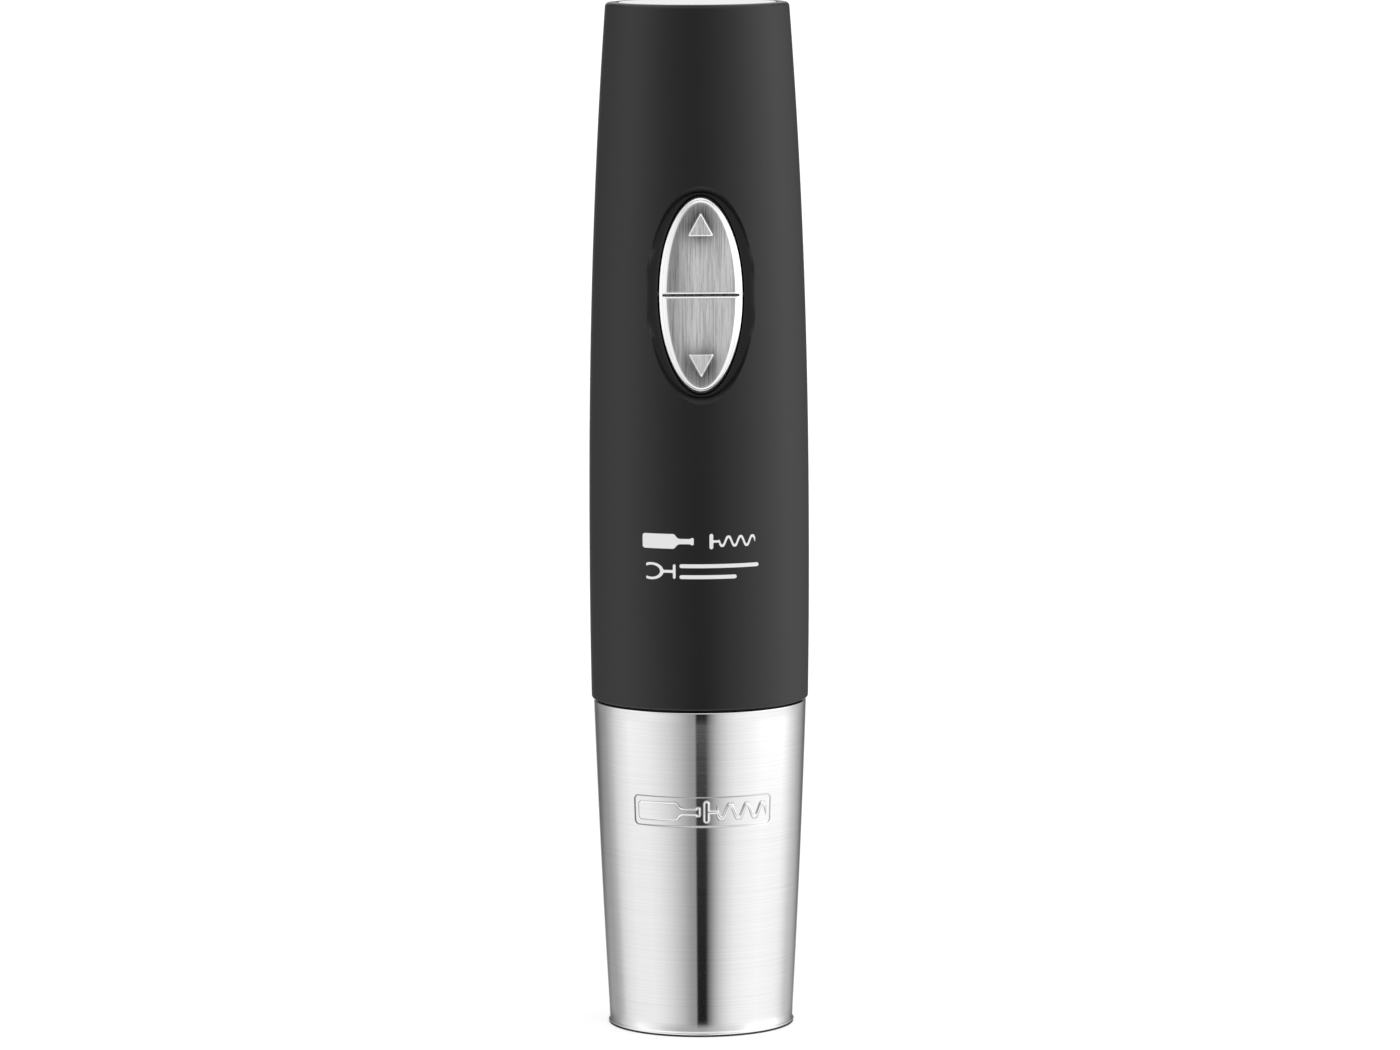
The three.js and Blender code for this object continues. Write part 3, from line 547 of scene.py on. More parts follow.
def worm_sign(x, y, size):
    """A sine stroke between a short shank and a point, with a crossbar: height over slope length."""
    x, y = x / size, y / size
    wave = np.abs(y - 1.0 * np.sin(x * 2.2)) / np.sqrt(1 + (2.2 * np.cos(x * 2.2)) ** 2) - 0.26
    wave = np.maximum(wave, np.abs(x) - 4.28)
    shank = to_segment(x, y, -6.0, 0, -4.28, 0, 0.26)
    bar = to_segment(x, y, -6.0, -1.3, -6.0, 1.3, 0.42)
    return np.minimum(np.minimum(wave, shank), bar) * size


def glass_sign(x, y, size):
    """A glass lying down: an open bowl as half an ellipse ring, a stem and a foot."""
    x, y = x / size, y / size
    ring = np.abs(np.hypot((x + 1.6) / 1.9, y / 1.25) - 1) * 1.3 - 0.22
    bowl = np.maximum(ring, -(x + 2.6))
    stem = to_segment(x, y, 0.3, 0, 2.5, 0, 0.24)
    foot = to_segment(x, y, 2.5, -1.0, 2.5, 1.0, 0.24)
    return np.minimum(bowl, np.minimum(stem, foot)) * size


# %% [markdown]
# ## The handle shells
# The handle is two moulded halves. Each is a sheet over a grid of columns round the barrel and rows
# up it, closer together where detail sits. A round or oval opening can't follow such a grid, so a
# window is left out of it and filled with rings that run from the window's border to the opening's
# outline, and on down the opening's walls. A Solidify modifier then gives the sheet its wall.

# %% A barrel sheet with openings
def from_frame(origin, tilt, facing, u, v, w):
    """Origin, plus u across, v up and w outwards; tilt leans the up axis away from the facing side."""
    x = origin[0] + u
    y = origin[1] + facing * (w * math.cos(tilt) - v * math.sin(tilt))
    z = origin[2] + v * math.cos(tilt) + w * math.sin(tilt)
    return np.stack(np.broadcast_arrays(x, y, z), -1)


def reach_barrel(origin, tilt, facing, u, v):
    """The w that puts (u, v) on the barrel, found by a few steps of substitution."""
    w = np.zeros(np.broadcast(u, v).shape)
    for _ in range(12):
        z = origin[2] + v * math.cos(tilt) + w * math.sin(tilt)
        depth = np.sqrt(barrel_radius(z) ** 2 - (origin[0] + u) ** 2)
        w = (depth - facing * origin[1] + v * math.sin(tilt)) / math.cos(tilt)
    return w


def opening_rings(border, origin, tilt, facing, a, b, walls, blend_rings=14):
    """Rings from a window's border to an oval of half-sizes a and b on the barrel, then the walls.
    walls lists (inset, share, w): the outline shrinks by inset, at that share of the way to depth w."""
    offset = border - np.array(origin)
    u0 = offset[:, 0]
    v0 = offset[:, 2] * math.cos(tilt) - facing * offset[:, 1] * math.sin(tilt)
    phase = np.arctan2(v0 / b, u0 / a)
    share = np.linspace(0, 1, blend_rings + 1)[1:, None] ** 0.8
    u = (1 - share) * u0 + share * a * np.cos(phase)
    v = (1 - share) * v0 + share * b * np.sin(phase)
    rings = [from_frame(origin, tilt, facing, u, v, reach_barrel(origin, tilt, facing, u, v))]
    edge = reach_barrel(origin, tilt, facing, u[-1], v[-1])
    for inset, part, depth in walls:
        ring_u, ring_v = (a - inset) * np.cos(phase), (b - inset) * np.sin(phase)
        w = (1 - part) * edge + part * depth
        rings.append(from_frame(origin, tilt, facing, ring_u, ring_v, w)[None])
    return np.vstack(rings)


def barrel_sheet(angles, column_inset, rows, openings):
    """The grid r, z by angle, with windows cut out for the openings and their rings joined on."""
    radius, height = rows.T
    r = radius[:, None] - column_inset[None, :]
    grid = np.stack(
        [r * np.sin(angles), -r * np.cos(angles), np.broadcast_to(height[:, None], r.shape)], -1
    )
    index = np.arange(r.size).reshape(r.shape)
    cell = np.stack([index[:-1, :-1], index[:-1, 1:], index[1:, 1:], index[1:, :-1]], -1)
    kept = np.ones(cell.shape[:2], bool)
    points, quads = [grid.reshape(-1, 3)], []
    total = r.size
    for (c0, c1, r0, r1), make_rings in openings:
        kept[r0:r1, c0:c1] = False
        border = np.concatenate(
            [index[r0, c0:c1], index[r0:r1, c1], index[r1, c1:c0:-1], index[r1:r0:-1, c0]]
        )
        rings = make_rings(grid.reshape(-1, 3)[border])
        count, around = rings.shape[:2]
        ring_index = np.vstack([border[None], total + np.arange(count * around).reshape(count, around)])
        quads.append(joined(ring_index[:-1], ring_index[1:]))
        points.append(rings.reshape(-1, 3))
        total += count * around
    quads.append(cell[kept])
    return np.vstack(points), np.vstack(quads)


# %% [markdown]
# ### Rows and columns
# Both halves share their rows: a rounded foot, the bowed side, a rounded rim and a short lip down to
# the cap. Rows crowd where the print sits, and columns crowd round the button. At each side seam
# three columns step inwards, so that the two halves meet in a fine groove.

# %% Rows up the barrel and columns round a half
def spaced(*stretches):
    """Values along stretches (start, stop, step), each end shared by its neighbour."""
    counts = [max(1, round(abs(b - a) / step)) for a, b, step in stretches]
    parts = [np.linspace(a, b, n, endpoint=False) for (a, b, _), n in zip(stretches, counts)]
    return np.concatenate(parts + [[stretches[-1][1]]])


def nearest(values, wanted):
    """The index of the value that is nearest."""
    return int(np.abs(values - wanted).argmin())


FOOT_EDGE = 0.5
RIM_FILLET = 1.2
RIM_EDGE = 0.3
LIP_R = CAP_R + 0.22
SEAM_GAP = 0.10 / WIDEST_R
SEAM_COLUMNS = np.array([0.0, 0.08, 0.2]) / WIDEST_R
SEAM_INSETS = np.array([0.2, 0.05, 0.0])
rim_z = SHELL_TOP_Z - RIM_FILLET
rim_r = float(barrel_radius(rim_z)) - RIM_FILLET
body_heights = spaced(
    (SHELL_FOOT_Z + FOOT_EDGE, 116, 1.4), (116, 134.5, 0.28), (134.5, 158, 1.4),
    (158, 225, 1.0), (225, rim_z, 1.6),
)
foot_r = float(barrel_radius(SHELL_FOOT_Z + FOOT_EDGE)) - FOOT_EDGE
shell_rows = np.array(
    [(foot_r - 1.2, SHELL_FOOT_Z)]
    + arc(foot_r, SHELL_FOOT_Z + FOOT_EDGE, FOOT_EDGE, -90, -12, 5)
    + [(float(barrel_radius(z)), z) for z in body_heights[:-1]]
    + arc(rim_r, rim_z, RIM_FILLET, 0, 90, 8)
    + arc(LIP_R + RIM_EDGE, SHELL_TOP_Z - RIM_EDGE, RIM_EDGE, 90, 180, 3)
    + [(LIP_R, SHELL_TOP_Z - 1.4)]
)


def half_columns(middle, stretches):
    """Angles for one half, with three columns of edge rounding at each side seam."""
    half = math.pi / 2 - SEAM_GAP
    inner = spaced(*stretches)
    inner = inner[np.abs(inner) < half - 0.3 / WIDEST_R]
    columns = np.concatenate([-half + SEAM_COLUMNS, inner, half - SEAM_COLUMNS[::-1]])
    inset = np.concatenate([SEAM_INSETS, np.zeros(len(inner)), SEAM_INSETS[::-1]])
    return middle + columns, inset


# %% [markdown]
# ### The front shell
# The button lies in a flat oval recess. Its floor is a plane that leans back a little, and its sides
# ease out into the barrel, so the recess is deep at the sides of the oval and fades at its ends. The
# rings follow that as an oval distance and a depth. The printed mark costs no faces of its own: the
# mesh carries its distance, and the paint's shader turns that into ink.

# %% The front shell, with the button's recess and the printed mark
recess_origin = (0.0, RECESS_Y, BUTTON_Z)
front_angles, front_inset = half_columns(
    0.0,
    [(-math.pi / 2, -0.66, 0.035), (-0.66, 0.66, 0.0092), (0.66, math.pi / 2, 0.035)],
)
OUTER_A, OUTER_B = RECESS_A + 0.2, RECESS_B + 0.9
FLOOR_A, FLOOR_B = RECESS_A - 0.1, RECESS_B - 0.93
OPENING_A, OPENING_B = PLATE_A + 0.38, PLATE_B + 0.38


def ease(t):
    """Almost a straight drop: the share, stretched a little, plus a small cosine that softens its
    two ends, kept between nought and one."""
    return float(np.clip(1.08 * t - 0.04 + 0.04 * np.cos(np.pi * t), 0, 1))


def recess_rings(border):
    """Ovals from the barrel in to the flat floor, then across it to the plate's opening and back
    along the opening's wall."""
    rings = opening_rings(border, recess_origin, BUTTON_TILT, -1, OUTER_A, OUTER_B, [], 11)
    offset = border - np.array(recess_origin)
    v0 = offset[:, 2] * math.cos(BUTTON_TILT) + offset[:, 1] * math.sin(BUTTON_TILT)
    phase = np.arctan2(v0 / OUTER_B, offset[:, 0] / OUTER_A)
    edge = reach_barrel(recess_origin, BUTTON_TILT, -1, OUTER_A * np.cos(phase), OUTER_B * np.sin(phase))
    steps = [
        (OUTER_A + (FLOOR_A - OUTER_A) * t, OUTER_B + (FLOOR_B - OUTER_B) * t, edge * (1 - ease(t)))
        for t in np.linspace(0, 1, 15)[1:]
    ]
    steps.append(((FLOOR_A + OPENING_A) / 2, (FLOOR_B + OPENING_B + 0.25) / 2, 0 * edge))
    steps += [(OPENING_A + extra, OPENING_B + extra, 0 * edge + depth) for extra, depth in
              ((0.25, 0.0), (0.07, -0.07), (0.0, -0.25), (0.0, -1.7))]
    walls = [
        from_frame(recess_origin, BUTTON_TILT, -1, a * np.cos(phase), b * np.sin(phase), w)[None]
        for a, b, w in steps
    ]
    return np.vstack([rings] + walls)


window = (
    nearest(front_angles, -0.63), nearest(front_angles, 0.63),
    nearest(shell_rows[:, 1], BUTTON_Z - 34), nearest(shell_rows[:, 1], BUTTON_Z + 34),
)
points, quads = barrel_sheet(front_angles, front_inset, shell_rows, [(window, recess_rings)])
front_shell = make_piece("handle_front", points, quads, closed=False, sharp=50)

MARK_Z = 125.2
across = np.arctan2(points[:, 0], -points[:, 1]) * WIDEST_R
up = points[:, 2] - MARK_Z
mark = np.minimum.reduce([
    bottle_sign(across + 9.2, up - 3.6, 1.4),
    worm_sign(across - 9.2, up - 3.6, 1.15),
    glass_sign(across + 11.0, up + 4.1, 1.5),
    to_segment(across, up, -5.4, -2.7, 14.6, -2.7, 0.5),
    to_segment(across, up, -5.4, -5.5, 8.4, -5.5, 0.5),
])
write_values(front_shell, "mark", mark)


def give_wall(piece, thickness, thin=None):
    """A Solidify modifier, applied: the sheet's inner side follows it at a constant depth,
    or at an eighth of that where the mask says thin."""
    solid = piece.modifiers.new("wall", "SOLIDIFY")
    if thin is not None:
        piece.vertex_groups.new(name="thin").add(np.flatnonzero(thin).tolist(), 1.0, "REPLACE")
        solid.vertex_group, solid.invert_vertex_group, solid.thickness_vertex_group = "thin", True, 0.12
    solid.thickness = thickness * MM
    solid.offset = -1.0
    with bpy.context.temp_override(object=piece, active_object=piece, selected_objects=[piece]):
        bpy.ops.object.modifier_apply(modifier=solid.name)
    return piece


give_wall(front_shell, 1.3)
settle(front_shell, "handle", "soft_black", SOFT_BLACK_MARKED, "front_shell")

# %% [markdown]
# ### The rear shell
# Four wells run straight in to the screws. A well meets the barrel at a slant, so its wall is kept
# thin: a thick one would come out through the side of the barrel.

# %% The rear shell, with its four screw wells
WELL_R, WELL_LIP = 3.1, 0.35
SHANK_HOLE_R = 1.6
SCREW_SEAT_Y = 7.6
SCREW_PLACES = [(side * spread, z) for z, spread in ((98.0, 21.2), (243.0, 18.6)) for side in (-1, 1)]
rear_angles, rear_inset = half_columns(math.pi, [(-math.pi / 2, math.pi / 2, 0.026)])


def well_opening(x, z):
    """A window round one screw, and rings down its well to the seat."""
    origin = (x, 0.0, z)
    middle = math.pi - math.asin(x / float(barrel_radius(z)))
    well_window = (
        nearest(rear_angles, middle - 0.30), nearest(rear_angles, middle + 0.30),
        nearest(shell_rows[:, 1], z - 6.5), nearest(shell_rows[:, 1], z + 6.5),
    )
    mouth = WELL_R + WELL_LIP
    walls = [
        (WELL_LIP * 0.3, 0.02, 0.0), (WELL_LIP, 0.05, 0.0), (WELL_LIP, 0.3, 0.0),
        (WELL_LIP, 1.0, SCREW_SEAT_Y + 0.1), (mouth - SHANK_HOLE_R, 1.0, SCREW_SEAT_Y),
    ]

    def rings(border):
        return opening_rings(border, origin, 0.0, 1, mouth, mouth, walls, 8)

    return well_window, rings


points, quads = barrel_sheet(
    rear_angles, rear_inset, shell_rows, [well_opening(x, z) for x, z in SCREW_PLACES]
)
near_wells = np.minimum.reduce([np.hypot(points[:, 0] - x, points[:, 2] - z) for x, z in SCREW_PLACES])
in_wells = (near_wells < WELL_R + 0.4) & (points[:, 1] > 0)
rear_shell = give_wall(make_piece("handle_rear", points, quads, closed=False, sharp=50), 1.2, in_wells)
settle(rear_shell, "handle", "soft_black", SOFT_BLACK, "rear_shell")

# %% [markdown]
# ## The collar
# The collar is a drawn steel cone with rolled edges. Its outline goes up the outside, over the top
# roll, down the inside and round the foot. On the front a panel is stamped in, and the signs stand
# up in it. The columns and rows crowd together there, so the stamp is real geometry.

# %% Spin the collar
STAMP_Z = 58.9
STAMP_HALF = (18.9, 3.8)
STAMP_DEPTH, SIGN_HEIGHT = 0.20, 0.36
STAMPED_ANGLE = 0.80
COLLAR_WALL = 0.9
TOP_ROLL = 0.45
LIP_BEAD = 0.42
collar_heights = spaced((1.6, 54, 3.0), (54, 64.4, 0.11), (64.4, COLLAR_TOP_Z - TOP_ROLL, 3.0))
collar_angles = np.concatenate([
    spaced((-STAMPED_ANGLE, STAMPED_ANGLE, 0.0046)),
    spaced((STAMPED_ANGLE, 2 * math.pi - STAMPED_ANGLE, 0.035))[1:-1],
])
top_r = float(collar_radius(COLLAR_TOP_Z)) - TOP_ROLL
foot_r = float(collar_radius(COLLAR_FOOT_Z)) - COLLAR_WALL
lip = arc(COLLAR_LIP_R - LIP_BEAD, MOUTH_EDGE + 0.03 + LIP_BEAD, LIP_BEAD, -90, 70, 8)
outer = lip + [(float(collar_radius(z)), z) for z in collar_heights]
collar_profile = np.array(
    outer
    + arc(top_r, COLLAR_TOP_Z - TOP_ROLL, TOP_ROLL, 10, 170, 7)
    + [(float(collar_radius(z)) - COLLAR_WALL, z) for z in collar_heights[::-1][::8]]
    + [(foot_r, MOUTH_EDGE + 0.1)]
)
rings = turned_rings(collar_profile, collar_angles)

# %% Press the panel and the signs into it
wrapped = (collar_angles + math.pi) % (2 * math.pi) - math.pi
across = wrapped[None, :] * float(collar_radius(STAMP_Z))
up = collar_profile[:, 1:] - STAMP_Z
panel = to_rounded_box(across, up, 0, 0, *STAMP_HALF, 1.2)
signs = np.minimum(bottle_sign(across + 9.4, up, 1.72), worm_sign(across - 10.6, up, 1.62))
outside = (np.arange(len(collar_profile)) < len(outer))[:, None]
stamp = SIGN_HEIGHT * smoothstep(0.18, -0.30, signs) - STAMP_DEPTH * smoothstep(0.2, -0.2, panel)
push = np.where(outside, stamp, 0.0)
rings[..., 0] += push * np.sin(collar_angles)
rings[..., 1] -= push * np.cos(collar_angles)
# painted shade: the panel's outline and the signs' edges are darkened, more along the top and left where
# shade falls in the stamp
shaded = smoothstep(-2.0, 2.0, up - 0.35 * across) * 0.6 + 0.4
crease = smoothstep(0.26, 0.07, np.abs(panel)) * shaded + 0.5 * smoothstep(0.22, 0.02, np.abs(signs - 0.1))
crease = np.where(outside, crease, 0.0)
collar = make_piece("collar_brushed", *skin(rings, looped=True), sharp=60)
write_values(collar, "crease", crease)
settle(collar, "handle", "brushed_steel", COLLAR_STEEL, "steel_collar")

# %% [markdown]
# ## The mouth ring and the end cap
# The opener stands on a thin black ring that also guides the bottle's lip. Only its edge shows,
# under the collar's rolled foot. Two shallow pockets in its underside hold the charging contacts.
# The top is closed by a brushed disc set in the barrel's rim.

# %% Turn the mouth ring with its contact pockets
CONTACT_PLACES = [(-7.0, 19.6), (7.0, 19.6)]
NECK_R = 17.4
POCKET_DEPTH = 0.85
underside = [(r, 0.0) for r in np.linspace(NECK_R + 0.5, MOUTH_R - 0.2, 30)]
mouth_profile = np.array(
    underside
    + arc(MOUTH_R - 0.14, 0.14, 0.14, -78, 0, 5)
    + arc(MOUTH_R - 0.1, MOUTH_EDGE - 0.1, 0.1, 0, 90, 4)
    + [(22.3, MOUTH_EDGE), (22.3, 5.8), (22.1, 6.0), (19.6, 6.0), (19.4, 5.8), (19.4, MOUTH_TOP_Z)]
    + [(16.8, MOUTH_TOP_Z)]
    + arc(NECK_R, 0.5, 0.5, 150, 255, 5)
)
rings = turned_rings(mouth_profile, circle(480))
to_contact = np.minimum.reduce([np.hypot(rings[..., 0] - x, rings[..., 1] - y) for x, y in CONTACT_PLACES])
under = (np.arange(len(mouth_profile)) < len(underside))[:, None]
rings[..., 2] += np.where(under, POCKET_DEPTH * smoothstep(2.3, 2.0, to_contact), 0.0)
mouth = make_piece("mouth_guide", *skin(rings, looped=True), sharp=40)
settle(mouth, "handle", "dark_plastic", DARK_PLASTIC, "mouth_ring")

# %% Turn the contacts
for side, (x, y) in zip(("left", "right"), CONTACT_PLACES):
    button = [(0.5, 0.32)] + arc(1.35, 0.72, 0.4, -90, 0, 5) + [(1.75, 1.8), (0.9, 1.8), (0.9, 3.4)]
    rings = turned_rings(button, circle(48)) + np.array([x, y, 0])
    contact = make_piece(f"contact_{side}", *skin(rings, start_pole=True, end_pole=True))
    settle(contact, "handle", "contact_brass", BRASS, f"charge_contact_{side}")

# %% Turn the end cap
TOP_Z, CAP_FOOT_Z = cap_high[2], cap_low[2]
CAP_NECK_R = 18.6
dome = [(r, TOP_Z - 0.3 * (r / CAP_R) ** 2) for r in np.linspace(0.4, CAP_R - 0.5, 26)]
cap_profile = (
    dome
    + arc(CAP_R - 0.35, TOP_Z - 0.64, 0.35, 80, 0, 5)
    + [(CAP_R, CAP_FOOT_Z + 1.6), (CAP_NECK_R, CAP_FOOT_Z + 1.6)]
    + [(CAP_NECK_R, CAP_FOOT_Z), (0.4, CAP_FOOT_Z)]
)
rings = turned_rings(cap_profile, circle(160))
cap = make_piece("cap_disc", *skin(rings, start_pole=True, end_pole=True))
settle(cap, "handle", "brushed_steel", CAP_STEEL, "end_cap")

# %% [markdown]
# ## Chamber and worm
# From below the eye meets the chamber: a wide bore for the bottle's lip, a step, and a narrower
# bore with four ribs that keep the cork from turning. The ribs are part of the same skin, as a
# radius that depends on the angle. In the middle hangs the worm, a round wire along a right-handed
# helix that thins to a point at the start of its turn.

# %% Spin the ribbed chamber
NECK_BORE, CORK_BORE, NECK_DEPTH = 16.0, 13.0, 30.0
chamber_foot, chamber_top = chamber_low[2], chamber_high[2]
lid_z = chamber_top - 3.4
lid_r = chamber_high[0]
chamber_profile = np.array(
    [(18.4, chamber_foot), (18.4, NECK_DEPTH), (15.4, NECK_DEPTH + 4), (15.4, lid_z), (lid_r, lid_z)]
    + [(lid_r, chamber_top), (6.3, chamber_top), (6.3, lid_z), (CORK_BORE - 0.4, lid_z)]
    + [(CORK_BORE, z) for z in np.linspace(lid_z - 0.4, NECK_DEPTH + 5, 12)]
    + [(CORK_BORE, z) for z in np.linspace(NECK_DEPTH + 4.5, NECK_DEPTH + 1.9, 8)]
    + arc(CORK_BORE + 0.4, NECK_DEPTH + 1.5, 0.4, 180, 225, 3)
    + [(NECK_BORE - 0.2, NECK_DEPTH), (NECK_BORE, NECK_DEPTH - 0.3), (NECK_BORE, 8.0)]
    + [(NECK_BORE + 0.6, chamber_foot + 0.2)]
)
chamber_angles = circle(240)
rings = turned_rings(chamber_profile, chamber_angles)
height = chamber_profile[:, 1:]
in_bore = np.abs(chamber_profile[:, :1] - CORK_BORE) < 0.01
fin = smoothstep(0.11, 0.07, np.abs((chamber_angles + 0.5 * math.pi) % (0.5 * math.pi) - 0.25 * math.pi))
fin_depth = np.where(in_bore, 1.0, 0.0) * smoothstep(NECK_DEPTH + 1.9, NECK_DEPTH + 4.5, height) * fin
rings[..., :2] *= (1 - fin_depth / CORK_BORE)[..., None]
chamber = make_piece("chamber_ribbed", *skin(rings, looped=True), sharp=30)
settle(chamber, "handle", "dark_plastic", DARK_PLASTIC, "chamber_tube")

# %% Wind the worm
WIRE_R, WORM_R, WORM_PITCH = 1.5, 3.0, 8.5
START_Z, END_Z = 29.0, box_mm("worm")[1][2]
height = np.linspace(START_Z - 0.2, END_Z - 0.1, 520)
angle = 2 * np.pi * (height - START_Z) / WORM_PITCH
coil = WORM_R * (1 - smoothstep(66.0, 74.0, height))
line = np.stack([coil * np.cos(angle), coil * np.sin(angle), height], -1)
along = np.gradient(line, axis=0)
along /= np.linalg.norm(along, axis=1, keepdims=True)
outward = np.stack([np.cos(angle), np.sin(angle), np.zeros_like(angle)], -1)
outward -= (outward * along).sum(1, keepdims=True) * along
outward /= np.linalg.norm(outward, axis=1, keepdims=True)
binormal = np.cross(along, outward)
thickness = WIRE_R * (0.06 + 0.94 * smoothstep(START_Z - 1.2, START_Z + 6.5, height) ** 0.8)
round_wire = circle(28)[None, :, None]
section = np.cos(round_wire) * outward[:, None] + np.sin(round_wire) * binormal[:, None]
rings = line[:, None] + thickness[:, None, None] * section
worm = make_piece("worm_wire", *skin(rings, start_pole=True, end_pole=True))
settle(worm, "output_spindle", "polished_steel", WORM_STEEL, "worm")

# %% Turn the worm's hub
hub_low, hub_high = box_mm("worm_hub")
hub_r, hub_foot, hub_top = hub_high[0], hub_low[2], hub_high[2]
WIRE_BORE, SPINDLE_BORE, BORE_STEP_Z, HUB_EDGE = 1.95, 3.3, 79.8, 0.9
hub_profile = (
    [(WIRE_BORE, hub_foot)]
    + arc(hub_r - HUB_EDGE, hub_foot + HUB_EDGE, HUB_EDGE, -90, 0, 5)
    + [(hub_r, hub_top), (SPINDLE_BORE, hub_top), (SPINDLE_BORE, BORE_STEP_Z), (WIRE_BORE, BORE_STEP_Z)]
)
hub = make_piece("hub_turned", *skin(turned_rings(hub_profile, circle(72)), looped=True))
settle(hub, "output_spindle", "dark_plastic", DARK_PLASTIC, "worm_hub")

# %% [markdown]
# ## The rocker button
# The button is one oval plate that tips about its middle. A polished bevel runs round its edge, and
# a dark groove that stops short of the edge parts two brushed fields, each with a raised arrow.
# Each field and arrow is a pad: an outline, a bevel up to a smaller outline, and rings from there to
# the middle, at a height that follows a gentle crown.

# %% The crown and the pads
PROUD = 1.1
CROWN = 0.2
RIM_WIDTH = 0.83


def crown(u, v):
    """Plate height: a constant minus a share that grows with the square of the oval distance."""
    return PROUD + CROWN * (1 - (u / PLATE_A) ** 2 - 0.35 * (v / PLATE_B) ** 2)


def grey_and_shade_at(u, v):
    """How dark the metal is painted: most round each arrow, painted shade on the left, and a little painted
    shade at the ends.
    """
    arrow = np.exp(-((u / 4.3) ** 2) - ((np.abs(v) - 17.8) / 4.2) ** 2)
    left = smoothstep(-1.5, -7.5, u) * np.where(v > 0, 1.0, 0.6)
    return np.clip(1.15 * arrow + 0.58 * left + 0.3 * smoothstep(18.5, 23.0, np.abs(v)), 0, 0.9)


def button_point(u, v, w):
    """A point of the button: across and up the plate, and its height above the recess floor."""
    return from_frame(recess_origin, BUTTON_TILT, -1, u, v, w)


def pad(name, outer, inner, lift, fall, depth, takes_grey_and_shade, fill_rings=24, skirt=None):
    """A closed pad: side wall, a bevel up from an outer to an inner outline, rings to the middle.
    A skirt is an outline just outside it, painted dark as shade at the foot of the bevel."""
    middle = inner.mean(0)
    fill = np.linspace(0.06, 1, fill_rings)[:-1]
    stack = [] if skirt is None else [(skirt, fall + depth, 0.0), (skirt, fall + 0.02, 0.0)]
    shaded_skirt_rows = len(stack)
    stack += [(outer, fall + (0.03 if shaded_skirt_rows else depth), 1.0), (outer, fall + 0.02, 1.0)]
    stack += [(outer + (inner - outer) * t, fall * (1 - t), 1.0) for t in (0.08, 0.5, 0.88, 0.98)]
    stack += [
        (inner + (middle - inner) * t, 0 * fall, grade)
        for t, grade in [(0.008, 0.6), (0.03, 0.15)] + [(t, 0.0) for t in fill]
    ]
    flat = np.stack([outline for outline, _, _ in stack])
    drop = np.stack([np.broadcast_to(down, len(outer)) for _, down, _ in stack])
    polish = np.repeat([grade for _, _, grade in stack], len(outer))
    u, v = flat[..., 0], flat[..., 1]
    shape = skin(button_point(u, v, crown(u, v) + lift - drop), start_pole=True, end_pole=True)
    piece = make_piece(name, *shape, sharp=50)
    wash = grey_and_shade_at(u, v) * takes_grey_and_shade
    # painted shade: the skirt rows at the foot of an arrow's bevel are painted fully dark
    wash[:shaded_skirt_rows] = 1.0
    write_values(piece, "polish", np.append(polish, [1.0, 0.0]))
    write_values(piece, "wash", np.append(wash, [grey_and_shade_at(*middle) * takes_grey_and_shade] * 2))
    return piece


# %% Rounded outlines
def rounded_polygon(corners, radius, steps=10):
    """Each corner becomes an arc that touches both its sides; sides are filled evenly between."""
    corners = np.array(corners, float)
    outline = []
    for k in range(len(corners)):
        before, here, after = corners[k - 1], corners[k], corners[(k + 1) % len(corners)]
        to_before = (before - here) / np.linalg.norm(before - here)
        to_after = (after - here) / np.linalg.norm(after - here)
        half = math.acos(np.clip(to_before @ to_after, -1, 1)) / 2
        tangent = radius / math.tan(half)
        inwards = (to_before + to_after) / np.linalg.norm(to_before + to_after)
        centre = here + inwards * radius / math.sin(half)
        start, stop = here + to_before * tangent - centre, here + to_after * tangent - centre
        first = math.atan2(start[1], start[0])
        swing = (math.atan2(stop[1], stop[0]) - first + math.pi) % (2 * math.pi) - math.pi
        bend = first + np.linspace(0, swing, steps)
        outline.append(centre + radius * np.stack([np.cos(bend), np.sin(bend)], -1))
        next_start = after - to_after * tangent
        fill = np.linspace(0, 1, 16)[1:-1, None]
        outline.append(outline[-1][-1] * (1 - fill) + next_start * fill)
    return np.vstack(outline)


BOW_POINTS = 160
CHORD_POINTS = 40


def half_oval(side, a, b, gap):
    """The part of an oval past a line at a distance gap from its middle, on one side."""
    start = math.asin(gap / b)
    swing = np.linspace(start, math.pi - start, BOW_POINTS)
    bow = np.stack([a * np.cos(swing), b * np.sin(swing)], -1)
    chord = np.linspace(bow[-1, 0], bow[0, 0], CHORD_POINTS + 2)[1:-1]
    outline = np.vstack([bow, np.stack([chord, np.full(CHORD_POINTS, gap)], -1)])
    return outline if side > 0 else -outline


# %% Assemble the button
GROOVE_HALF, GROOVE_DEPTH, GROOVE_BEVEL = 0.31, 1.0, 0.25
FIELD_DEPTH = 0.7


def bevel_width(phase):
    """The inner bevel: widest at the sides of the oval, narrowest at its ends."""
    return 0.65 + 0.4 * np.cos(phase) ** 2


def slope(phase):
    """Fall of the rim for each step outward: steepest at the sides of the oval."""
    return 0.42 + 0.2 * np.cos(phase) ** 2


